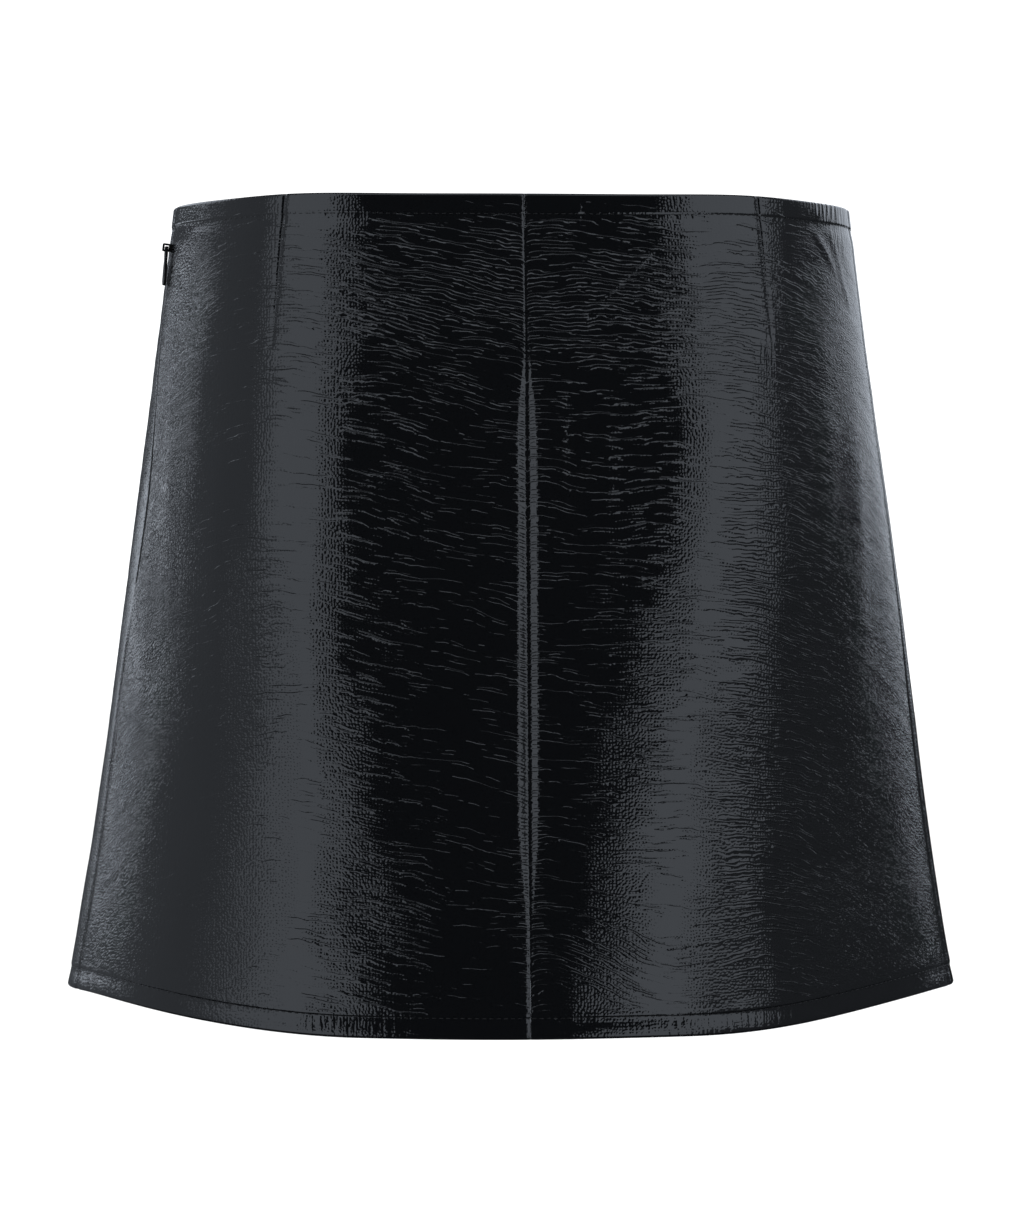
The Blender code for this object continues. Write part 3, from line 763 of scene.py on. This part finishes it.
vinyl = {
    "color": "#08090b",
    "roughness": 0.055,
    "ior": 1.5,
    "loopMm": 1.5,  # the knit's loops show through the film, drawn coarser than real so that they do
    "loopDepth": 0.000058,
    "loopUneven": 0.7,
    "wrinkleApartMm": 1.65,
    "wrinkleDepth": 0.000165,
    "crestSharpness": 1.5,
    "jagMm": (5.0, 2.4),  # how long and how tall the noise is that makes the lines jagged
    "jag": 4.6,
    "sidesFrom": (0.115, 0.165),  # distance from the panel side's middle where its sides begin
    "jagAtSides": 7.0,  # so much more jagged there
    "sideShare": 0.30,  # but shallower there
    "fineMm": (2.6, 1.3),  # and mostly fine crumpling with no lines to follow
    "fineDepth": 0.00045,
    "fineLeast": 0.3,  # share of that where nothing is crumpled
    "patchMm": (22, 2.5),  # size of the noise that says where there are wrinkles
    "patchSharpness": 6.0,
    "drift": 8.0,  # patches shift the lines too, so they draw together and part
    "bareBelow": 0.66,  # where nothing is crumpled, only the noise's peaks above this wrinkle
    "crumpledBelow": 0.22,
    "crossing": 0.45,  # depth of the crossing wrinkles next to the first ones
    "crossingFrom": (0.45, 0.95),  # how crumpled a place is where they begin and are deepest
    "crossingGaps": (0.66, 0.46),  # the patches' noise where there are none and where they are deepest
    "crossingFiner": 1.15,
    "puckerMm": (2.2, 14),
    "puckerDepth": 0.0010,
}


def crests(tree, phase):
    # narrow crests one turn apart, with wide soft valleys between them
    half = addNode(tree, "Math", 0, {0: phase, 1: 0.5}, operation="MULTIPLY")
    wave = addNode(tree, "Math", 0, {0: half}, operation="SINE")
    valley = addNode(tree, "Math", 0, {0: wave}, operation="ABSOLUTE")
    rise = addNode(tree, "Math", 0, {0: 1.0, 1: valley}, operation="SUBTRACT")
    return addNode(tree, "Math", 0, {0: rise, 1: vinyl["crestSharpness"]}, operation="POWER")


def patentVinyl():
    # glossy polyurethane film on a knit: mirror-like, broken up by the knit's loops and fine wrinkles
    material, tree, shader = newMaterial("patentVinylFilm", vinyl["color"], vinyl["roughness"], vinyl["ior"])
    cloth = addNode(tree, "UVMap", "UV", uv_map="cloth")
    flow = addNode(tree, "UVMap", "UV", uv_map="flow")
    crumple = addNode(tree, "Attribute", "Fac", attribute_name="crumple")
    pucker = addNode(tree, "Attribute", "Fac", attribute_name="pucker")
    aside = addNode(tree, "SeparateXYZ", "X", {0: flow})
    down = addNode(tree, "SeparateXYZ", "Y", {0: flow})
    perMetre = fullTurn * 1000 / vinyl["wrinkleApartMm"]

    loops = {"Vector": cloth, "Scale": 1000 / vinyl["loopMm"], "Randomness": vinyl["loopUneven"]}
    loops = addNode(tree, "TexVoronoi", "Distance", loops, voronoi_dimensions="2D")
    grain = addNode(tree, "Math", 0, {0: loops, 1: -vinyl["loopDepth"]}, operation="MULTIPLY")

    noises = []
    for sizes, place, detail in (
        (vinyl["jagMm"], flow, 0.0),
        (vinyl["patchMm"], flow, 1.0),
        (vinyl["fineMm"], flow, 1.5),
        (vinyl["puckerMm"], cloth, 1.0),
    ):
        scale = (1000 / sizes[0], 1000 / sizes[1], 1)
        stretched = addNode(tree, "Mapping", 0, {"Vector": place, "Scale": scale})
        noise = {"Vector": stretched, "Scale": 1.0, "Detail": detail}
        noises.append(addNode(tree, "TexNoise", "Fac", noise, noise_dimensions="2D"))
    away = addNode(tree, "Math", 0, {0: aside}, operation="ABSOLUTE")
    sides = {"Value": away, "From Min": vinyl["sidesFrom"][0], "From Max": vinyl["sidesFrom"][1]}
    sides = addNode(tree, "MapRange", 0, sides)
    jag = {0: sides, 1: vinyl["jagAtSides"], 2: vinyl["jag"]}
    jag = addNode(tree, "Math", 0, jag, operation="MULTIPLY_ADD")
    jag = addNode(tree, "Math", 0, {0: noises[0], 1: jag}, operation="MULTIPLY")
    jag = {0: noises[1], 1: vinyl["drift"], 2: jag}
    jag = addNode(tree, "Math", 0, jag, operation="MULTIPLY_ADD")

    # the wrinkles: crests across the flow, there only where the patches rise above a limit
    phase = addNode(tree, "Math", 0, {0: down, 1: perMetre, 2: jag}, operation="MULTIPLY_ADD")
    wave = crests(tree, phase)
    limit = {0: crumple, 1: vinyl["crumpledBelow"] - vinyl["bareBelow"], 2: vinyl["bareBelow"]}
    limit = addNode(tree, "Math", 0, limit, operation="MULTIPLY_ADD")
    over = addNode(tree, "Math", 0, {0: noises[1], 1: limit}, operation="SUBTRACT")
    over = addNode(tree, "Math", 0, {0: over, 1: vinyl["patchSharpness"]}, operation="MULTIPLY")
    present = addNode(tree, "Clamp", 0, {"Value": over})
    lines = addNode(tree, "Math", 0, {0: wave, 1: present}, operation="MULTIPLY")
    depth = vinyl["wrinkleDepth"]
    shallower = {"Value": sides, "To Min": depth, "To Max": depth * vinyl["sideShare"]}
    shallower = addNode(tree, "MapRange", 0, shallower)
    lines = addNode(tree, "Math", 0, {0: lines, 1: shallower}, operation="MULTIPLY")

    # fine crumpling towards the sides
    fine = addNode(tree, "Math", 0, {0: noises[2], 1: 0.5}, operation="SUBTRACT")
    fine = addNode(tree, "Math", 0, {0: fine}, operation="ABSOLUTE")
    fineLeast = vinyl["fineLeast"] * vinyl["fineDepth"]
    fineRoom = {"Value": crumple, "To Min": fineLeast, "To Max": vinyl["fineDepth"]}
    fineRoom = addNode(tree, "MapRange", 0, fineRoom)
    fineRoom = addNode(tree, "Math", 0, {0: fineRoom, 1: sides}, operation="MULTIPLY")
    lines = addNode(tree, "Math", 0, {0: fine, 1: fineRoom, 2: lines}, operation="MULTIPLY_ADD")

    # the crossing wrinkles, only towards the sides and in the most crumpled places
    steeper = {0: away, 1: crossLean, 2: down}
    steeper = addNode(tree, "Math", 0, steeper, operation="MULTIPLY_ADD")
    phase = {0: steeper, 1: perMetre * vinyl["crossingFiner"], 2: jag}
    phase = addNode(tree, "Math", 0, phase, operation="MULTIPLY_ADD")
    wave = crests(tree, phase)
    least, most = vinyl["crossingFrom"]
    room = {"Value": crumple, "From Min": least, "From Max": most, "To Max": depth}
    room = addNode(tree, "MapRange", 0, room)
    room = addNode(tree, "Math", 0, {0: room, 1: sides}, operation="MULTIPLY")
    least, most = vinyl["crossingGaps"]
    gaps = {"Value": noises[1], "From Min": least, "From Max": most, "To Max": vinyl["crossing"]}
    gaps = addNode(tree, "MapRange", 0, gaps)
    room = addNode(tree, "Math", 0, {0: room, 1: gaps}, operation="MULTIPLY")
    lines = addNode(tree, "Math", 0, {0: wave, 1: room, 2: lines}, operation="MULTIPLY_ADD")

    # upright puckers
    room = addNode(tree, "Math", 0, {0: pucker, 1: vinyl["puckerDepth"]}, operation="MULTIPLY")
    lines = addNode(tree, "Math", 0, {0: noises[3], 1: room, 2: lines}, operation="MULTIPLY_ADD")

    height = addNode(tree, "Math", 0, {0: grain, 1: lines}, operation="ADD")
    relief = addNode(tree, "Bump", "Normal", {"Height": height, "Distance": 1.0, "Strength": 1.0})
    tree.links.new(relief, shader.inputs["Normal"])
    return material


knit = {
    "color": "#202126",
    "dark": "#111216",
    "roughness": 0.95,
    "waleMm": 0.9,
    "courseMm": 0.7,
    "courseShare": 0.5,  # the courses stand out less than the wales
    "shadeFrom": (-1.2, 1.0),
    "depth": 0.00012,
}


def knitBacking():
    # matt warp-knit backing: fine upright wales crossed by courses, darker between them
    material, tree, shader = newMaterial("knitBacking", knit["color"], knit["roughness"])
    cloth = addNode(tree, "UVMap", "UV", uv_map="cloth")
    rows = []
    for part, apartMm in (("X", knit["waleMm"]), ("Y", knit["courseMm"])):
        place = addNode(tree, "SeparateXYZ", part, {0: cloth})
        turns = {0: place, 1: fullTurn * 1000 / apartMm}
        phase = addNode(tree, "Math", 0, turns, operation="MULTIPLY")
        rows.append(addNode(tree, "Math", 0, {0: phase}, operation="SINE"))
    loops = {0: rows[1], 1: knit["courseShare"], 2: rows[0]}
    loops = addNode(tree, "Math", 0, loops, operation="MULTIPLY_ADD")
    shade = {"Value": loops, "From Min": knit["shadeFrom"][0], "From Max": knit["shadeFrom"][1]}
    shade = addNode(tree, "MapRange", 0, shade)
    colors = {0: shade, 6: linearColor(knit["dark"]), 7: linearColor(knit["color"])}
    mixed = addNode(tree, "Mix", 2, colors, data_type="RGBA")
    tree.links.new(mixed, shader.inputs["Base Color"])
    # the loops run from -1.5 to 1.5
    height = addNode(tree, "Math", 0, {0: loops, 1: knit["depth"] / 3}, operation="MULTIPLY")
    relief = addNode(tree, "Bump", "Normal", {"Height": height, "Distance": 1.0})
    tree.links.new(relief, shader.inputs["Normal"])
    return material


film = patentVinyl()
backing = knitBacking()
made = {}
for name, side, columnStep in (
    ("back_left", -1, panels["backColumnStep"]),
    ("back_right", 1, panels["backColumnStep"]),
    ("front", 0, panels["frontColumnStep"]),
):
    piece, grid = buildPanel("vinyl_" + name, side, columnStep, (film, backing))
    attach(piece, "skirt")
    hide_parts(name)
    extras = insideStripsOf(name, side, grid, (film,))
    for strip in extras:
        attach(strip, "skirt")
    made[name] = {"piece": piece, "grid": grid, "extras": extras}
print("panels made")

stitches = {
    "color": "#0c0c0e",
    "roughness": 0.42,
    "pitch": 0.0032,
    "long": 0.0025,
    "radius": 0.00018,
    "sides": 6,
    "segments": 5,
    "lift": 0.00002,
    "sink": 0.00045,  # how far its ends go into the needle holes
    "pullIn": 0.12,
    "lookAhead": 0.0005,  # along the seam, for the way a stitch lies
    "sharpDegrees": 60,
}


def smallRod(size):
    # a round rod along X
    lying = (0, math.pi / 2, 0)
    bpy.ops.mesh.primitive_cylinder_add(
        vertices=size["sides"], radius=size["radius"], depth=size["long"], rotation=lying
    )
    bpy.ops.object.transform_apply(location=False, rotation=True, scale=False)
    return bpy.context.object


def roundEdges(piece, size, steps, degrees):
    rounding = piece.modifiers.new("rounding", "BEVEL")
    rounding.width = size
    rounding.segments = steps
    rounding.limit_method = "ANGLE"
    rounding.angle_limit = math.radians(degrees)
    bpy.ops.object.modifier_apply(modifier="rounding")


def oneStitch():
    # a short run of thread along X, its ends bent down into the needle holes
    stitch = smallRod(stitches)
    bpy.ops.object.mode_set(mode="EDIT")
    for k in range(1, stitches["segments"]):
        bpy.ops.mesh.select_all(action="SELECT")
        x = stitches["long"] * (k / stitches["segments"] - 0.5)
        bpy.ops.mesh.bisect(plane_co=(x, 0, 0), plane_no=(1, 0, 0))
    bpy.ops.object.mode_set(mode="OBJECT")
    half = stitches["long"] / 2
    for vertex in stitch.data.vertices:
        out = abs(vertex.co.x) / half
        vertex.co.z -= stitches["sink"] * out**4
        vertex.co.x *= 1 - stitches["pullIn"] * out**4
    return stitch


def setOut(name, pattern, spots, material):
    # copies of a small piece, one at each spot: a point, the way along it and the way outwards
    shape = np.array([vertex.co for vertex in pattern.data.vertices])
    shapeFaces = [list(face.vertices) for face in pattern.data.polygons]
    points, faces = [], []
    for spot, ahead, out in spots:
        aside = np.cross(out, ahead)
        start = len(points) * len(shape)
        points.append(spot + shape[:, :1] * ahead + shape[:, 1:2] * aside + shape[:, 2:] * out)
        faces += [[start + v for v in face] for face in shapeFaces]
    mesh = bpy.data.meshes.new(name)
    mesh.from_pydata(np.concatenate(points).tolist(), [], faces)
    return finishMesh(name, mesh, (material,), stitches["sharpDegrees"])


def stitchRun(grid, side, edge):
    # where the stitches go along one edge of a panel; edge names the distance from it
    surface = placed(grid, seamShape(grid, side) + surfaceRelief(grid, side))
    fromEdge = panels["stitchFromEdge"]
    line, outs = [], []
    for column in range(surface.shape[1]):
        far = grid[edge][:, column]
        order = np.argsort(far)
        line.append([np.interp(fromEdge, far[order], surface[order, column, k]) for k in range(3)])
        row = int(np.argmin(np.abs(far - fromEdge)))
        outs.append((grid["outX"][row, column], grid["outY"][row, column], 0))
    line, outs = np.array(line), np.array(outs)
    walked = np.concatenate([[0], np.cumsum(np.linalg.norm(np.diff(line, axis=0), axis=1))])
    spots = []
    for where in np.arange(stitches["pitch"] / 2, walked[-1], stitches["pitch"]):
        spot, ahead, out = (
            np.array([np.interp(where + shift, walked, values[:, k]) for k in range(3)])
            for shift, values in ((0, line), (stitches["lookAhead"], line), (0, outs))
        )
        ahead = ahead - spot
        if not ahead.any():
            continue
        ahead /= np.linalg.norm(ahead)
        out -= ahead * np.dot(out, ahead)
        out /= np.linalg.norm(out)
        spots.append((spot + stitches["lift"] * out, ahead, out))
    return spots


# bonded polyester thread, softly shiny
thread, _, _ = newMaterial("bondedThread", stitches["color"], stitches["roughness"])
stitch = oneStitch()
for name, side in (("back_left", -1), ("back_right", 1), ("front", 0)):
    panel = made[name]
    grid = panel["grid"]
    spots = stitchRun(grid, side, "below") + stitchRun(grid, side, "above")
    sewn = setOut("topstitch_" + name, stitch, spots, thread)
    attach(sewn, "skirt")
    print("topstitch_" + name, len(spots), "stitches")
bpy.data.objects.remove(stitch)

zipTeeth = {
    "color": "#0d0d0f",
    "roughness": 0.35,
    "pitch": 0.00135,
    "long": 0.0031,
    "radius": 0.00042,
    "sides": 8,
    "aside": 0.00055,
    "deep": 0.00325,  # behind the outer face, on the tapes
    "rounding": 0.0002,
    "roundDegrees": 60,
    "belowSlider": 0.0045,
    "aboveBottom": 0.0005,
}

# one turn of the coil, laid across the zip
tooth = smallRod(zipTeeth)
roundEdges(tooth, zipTeeth["rounding"], 1, zipTeeth["roundDegrees"])
spots = []
firstTooth = zipSeam["sliderDrop"] + zipTeeth["belowSlider"]
lastTooth = zipSeam["bottom"] - zipTeeth["aboveBottom"]
for k, drop in enumerate(np.arange(firstTooth, lastTooth, zipTeeth["pitch"])):
    level = skirtLevel(drop)
    middle = seamAlong(level, -1)
    values = [np.interp(middle, level["along"], level[key]) for key in ("x", "y", "z", "outX", "outY")]
    point, out = np.array(values[:3]), np.array(values[3:] + [0])
    ahead = np.cross((0, 0, 1), out)
    aside = zipTeeth["aside"] * (1 if k % 2 else -1)
    spots.append((point - zipTeeth["deep"] * out + aside * ahead, ahead, out))
# nylon coil, satin
coil, _, _ = newMaterial("nylonCoil", zipTeeth["color"], zipTeeth["roughness"])
teeth = setOut("zip_teeth", tooth, spots, coil)
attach(teeth, "skirt")
bpy.data.objects.remove(tooth)
print("zip teeth", len(spots))

tape = {
    "color": "#15151a",
    "roughness": 0.85,
    "threadMm": 0.55,
    "depth": 0.00007,
}
# woven polyester tape, matt: fine threads along and across it
wovenTape, tree, shader = newMaterial("wovenTape", tape["color"], tape["roughness"])
place = addNode(tree, "TexCoord", "Object")
weave = []
for part in ("Y", "Z"):
    way = addNode(tree, "SeparateXYZ", part, {0: place})
    turns = {0: way, 1: fullTurn * 1000 / tape["threadMm"]}
    phase = addNode(tree, "Math", 0, turns, operation="MULTIPLY")
    weave.append(addNode(tree, "Math", 0, {0: phase}, operation="SINE"))
crossed = addNode(tree, "Math", 0, {0: weave[0], 1: weave[1]}, operation="MULTIPLY")
# the weave runs from -1 to 1
height = addNode(tree, "Math", 0, {0: crossed, 1: tape["depth"] / 2}, operation="MULTIPLY")
relief = addNode(tree, "Bump", "Normal", {"Height": height, "Distance": 1.0})
tree.links.new(relief, shader.inputs["Normal"])
for name in ("zip_tape_back", "zip_tape_front"):
    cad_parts[name].data.materials.clear()
    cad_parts[name].data.materials.append(wovenTape)

enamelled = {
    "color": "#0b0b0d",
    "roughness": 0.42,
    "specular": 0.15,
    "mergeWithin": 0.00001,
    "rounding": 0.00015,
    "roundDegrees": 35,
    "sharpDegrees": 40,
}
# black enamel over metal, worn a little dull
enamel, _, shader = newMaterial("blackEnamel", enamelled["color"], enamelled["roughness"])
shader.inputs["Specular IOR Level"].default_value = enamelled["specular"]
for node, body in (("zip_slider", "skirt"), ("zip_pull", "pull_tab")):
    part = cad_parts[node].copy()
    part.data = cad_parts[node].data.copy()
    part.name = "enamel_" + node
    bpy.context.scene.collection.objects.link(part)
    bpy.context.view_layer.objects.active = part
    part.select_set(True)
    bpy.ops.object.transform_apply()
    bpy.ops.object.mode_set(mode="EDIT")
    bpy.ops.mesh.select_all(action="SELECT")
    bpy.ops.mesh.remove_doubles(threshold=enamelled["mergeWithin"])
    bpy.ops.mesh.tris_convert_to_quads()
    bpy.ops.mesh.normals_make_consistent(inside=False)
    bpy.ops.object.mode_set(mode="OBJECT")
    roundEdges(part, enamelled["rounding"], 2, enamelled["roundDegrees"])
    bpy.ops.object.shade_smooth_by_angle(angle=math.radians(enamelled["sharpDegrees"]))
    part.data.materials.clear()
    part.data.materials.append(enamel)
    part.select_set(False)
    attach(part, body)
    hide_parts(node)
print("zip done")

studio = {
    "middle": Vector((0, 0, -0.19)),
    "reach": 5.0,
    "nearReach": 4.2,
    "coolTint": (0.92, 1.0, 1.12),
    "paleRoom": ((1, 1, 1, 1), 1.3),  # what is seen and what lights the cloth
    "darkRoom": ((0.9, 1, 1.1, 1), 0.012),  # what reflections see past the cards
    "floorHeight": -0.62,
    "floorSize": 40,
    "sensorMm": 36,
    "lens": 148.6,
    "cameraAway": 2.4,
    "cameraTurnDegrees": -3.2,
    "cameraHeight": -0.191,
}
# Lit cards round the skirt, seen only in reflections. Each corner: azimuth from the camera side and
# elevation as seen from the skirt, in degrees, and brightness there, where white is 1
lightCards = {
    "leftWallTop": ((-45, 13, 0.47), (-45, 60, 0.47), (-96, 62, 0.47), (-96, 13, 0.47)),
    "leftWallLow": ((-45, -25, 0.47), (-45, 13, 0.47), (-96, 13, 0.47), (-96, -25, 0.47)),
    "leftFar1": ((-96, -25, 0.47), (-96, 19, 0.47), (-120, 17, 0.35), (-120, -25, 0.35)),
    "leftFar2": ((-120, -25, 0.35), (-120, 17, 0.35), (-150, 15, 0.12), (-150, -25, 0.12)),
    "leftFar3": ((-150, -25, 0.12), (-150, 15, 0.12), (-180, 15, 0.05), (-180, -25, 0.05)),
    "leftHigh1": ((-96, 20, 0.7), (-96, 46, 0.7), (-115, 44, 2.0), (-115, 18, 2.0)),
    "leftHigh2": ((-115, 18, 2.0), (-115, 44, 2.0), (-160, 44, 2.0), (-160, 16, 2.0)),
    "rightWallTop": ((45, 13, 0.22), (45, 58, 0.26), (92, 62, 0.24), (92, 13, 0.18)),
    "rightWallLow": ((45, -25, 0.15), (45, 13, 0.20), (92, 13, 0.15), (92, -25, 0.12)),
    "rightFar": ((92, -25, 0.12), (92, 17, 0.15), (150, 17, 0.05), (150, -25, 0.05)),
    "rightHigh1": ((92, 18, 0.4), (92, 46, 0.4), (116, 44, 1.4), (116, 18, 1.4)),
    "rightHigh2": ((116, 18, 1.4), (116, 44, 1.4), (165, 44, 1.8), (165, 18, 1.8)),
    "farStrip": ((168, -25, 1.2), (168, 16, 1.2), (192, 16, 1.2), (192, -25, 1.2)),
    "frontHigh": ((-42, 41, 1.45), (42, 41, 1.45), (50, 60, 1.45), (-50, 60, 1.45)),
    "farHigh": ((165, 34, 1.2), (195, 34, 1.2), (205, 58, 1.2), (155, 58, 1.2)),
}
# The same nearer by, in front of those; a corner without a brightness has the strips' own
stripBrightness = {"left": 1.25, "right": 1.3}
nearCards = {
    "leftStripTop": (
        (-39, 13), (-41, 20), (-37, 26), (-36, 58), (-63.5, 58), (-63, 21), (-65, 17), (-61, 13),
    ),
    "leftStripLow": (
        (-39, 13), (-61, 13), (-67, 7.7), (-52, 5), (-52, 3.5), (-58, 2.8), (-58, -25), (-34, -25),
        (-34.5, 2.4), (-39.4, 3.9), (-40.5, 8.8),
    ),
    "rightStripTop": (
        (40, 13), (41, 20), (37, 25), (36, 58), (74, 58), (74, 21.5), (69, 21), (64, 17), (64, 13),
    ),
    "rightStripLow": (
        (40, 13), (64, 13), (64, 11), (62, 6), (62, 1.8), (54, 1.4), (50, 1.1), (46.5, 0.8), (44, 0.3),
        (44, -25), (25, -25), (25, 2.4), (28, 4), (34.5, 8.6),
    ),
    "leftGlow": (
        (-101, 11, 1.3), (-120, 11.4, 3.6), (-134, 9.6, 3.0), (-150, 6.6, 1.2), (-156, 4.6, 0.7),
        (-156, 0, 0.4), (-148, -1, 0.3), (-132, 2.4, 0.6), (-122, 5.6, 2.2), (-104, 7.4, 1.8),
    ),
    "rightGlowTop": (
        (108, 17, 1.2), (110, 13.7, 1.3), (119, 11.4, 1.3), (118, 9.8, 1.3), (124, 7.4, 1.3),
        (160, 4.5, 0.9), (172, 8, 0.9), (172, 17, 0.9),
    ),
    "rightGlowLow": (
        (124, 7.4, 1.3), (113.5, 6.2, 1.3), (110.5, 5.3, 1.2), (113, 4.2, 1.1), (117, 3.4, 1.0),
        (137, 2.6, 1.0), (149, 1.5, 0.9), (158, 0.5, 0.8), (158, 3, 0.8), (160, 4.5, 0.9),
    ),
}


def cardMaterial():
    # a white reflector panel, evenly lit
    material, tree, shader = newMaterial("litCard", "#ffffff", 0.5)
    tree.nodes.clear()
    glow = addNode(tree, "Attribute", "Fac", attribute_name="glow")
    light = addNode(tree, "Emission", 0, {"Color": (*studio["coolTint"], 1), "Strength": glow})
    addNode(tree, "OutputMaterial", 0, {"Surface": light})
    return material


def addLightCard(name, corners, reach, material):
    points, brightness = [], []
    for azimuth, elevation, *glow in corners:
        turn, rise = math.radians(azimuth), math.radians(elevation)
        towards = Vector((math.sin(turn) * math.cos(rise), -math.cos(turn) * math.cos(rise), math.sin(rise)))
        points.append(studio["middle"] + reach * towards)
        brightness += glow or [stripBrightness["left" if azimuth < 0 else "right"]]
    mesh = bpy.data.meshes.new(name)
    mesh.from_pydata(points, [], [range(len(points))])
    mesh.attributes.new("glow", "FLOAT", "POINT").data.foreach_set("value", brightness)
    mesh.materials.append(material)
    card = bpy.data.objects.new(name, mesh)
    bpy.context.scene.collection.objects.link(card)
    card.visible_camera = False
    card.visible_diffuse = False
    card.visible_shadow = False


litCard = cardMaterial()
for cards, reach in ((lightCards, studio["reach"]), (nearCards, studio["nearReach"])):
    for name, corners in cards.items():
        addLightCard(name, corners, reach, litCard)

world = bpy.data.worlds.new("paleStudio")
bpy.context.scene.world = world
world.use_nodes = True
worldTree = world.node_tree
worldTree.nodes.clear()
mirrored = addNode(worldTree, "LightPath", "Is Glossy Ray")
rooms = [
    addNode(worldTree, "Background", 0, {"Color": studio[room][0], "Strength": studio[room][1]})
    for room in ("paleRoom", "darkRoom")
]
seen = addNode(worldTree, "MixShader", 0, {0: mirrored, 1: rooms[0], 2: rooms[1]})
addNode(worldTree, "OutputWorld", 0, {"Surface": seen})
world.cycles.sampling_method = "NONE"

bpy.ops.mesh.primitive_plane_add(size=studio["floorSize"], location=(0, 0, studio["floorHeight"]))
floor = bpy.context.object
floor.name = "floor"
floor.select_set(False)
paleFloor, _, _ = newMaterial("paleFloor", "#f4f4f4", 0.9)
floor.data.materials.append(paleFloor)
floor.visible_glossy = False

bpy.ops.object.camera_add()
camera = bpy.context.object
turn = math.radians(studio["cameraTurnDegrees"])
camera.location = Vector((math.sin(turn), -math.cos(turn), 0)) * studio["cameraAway"]
camera.location.z = studio["cameraHeight"]
camera.rotation_euler = (math.pi / 2, 0, turn)
camera.data.lens = studio["lens"]
camera.data.sensor_width = studio["sensorMm"]
bpy.context.scene.camera = camera
bpy.context.scene.view_settings.view_transform = "Standard"
print("studio ready")
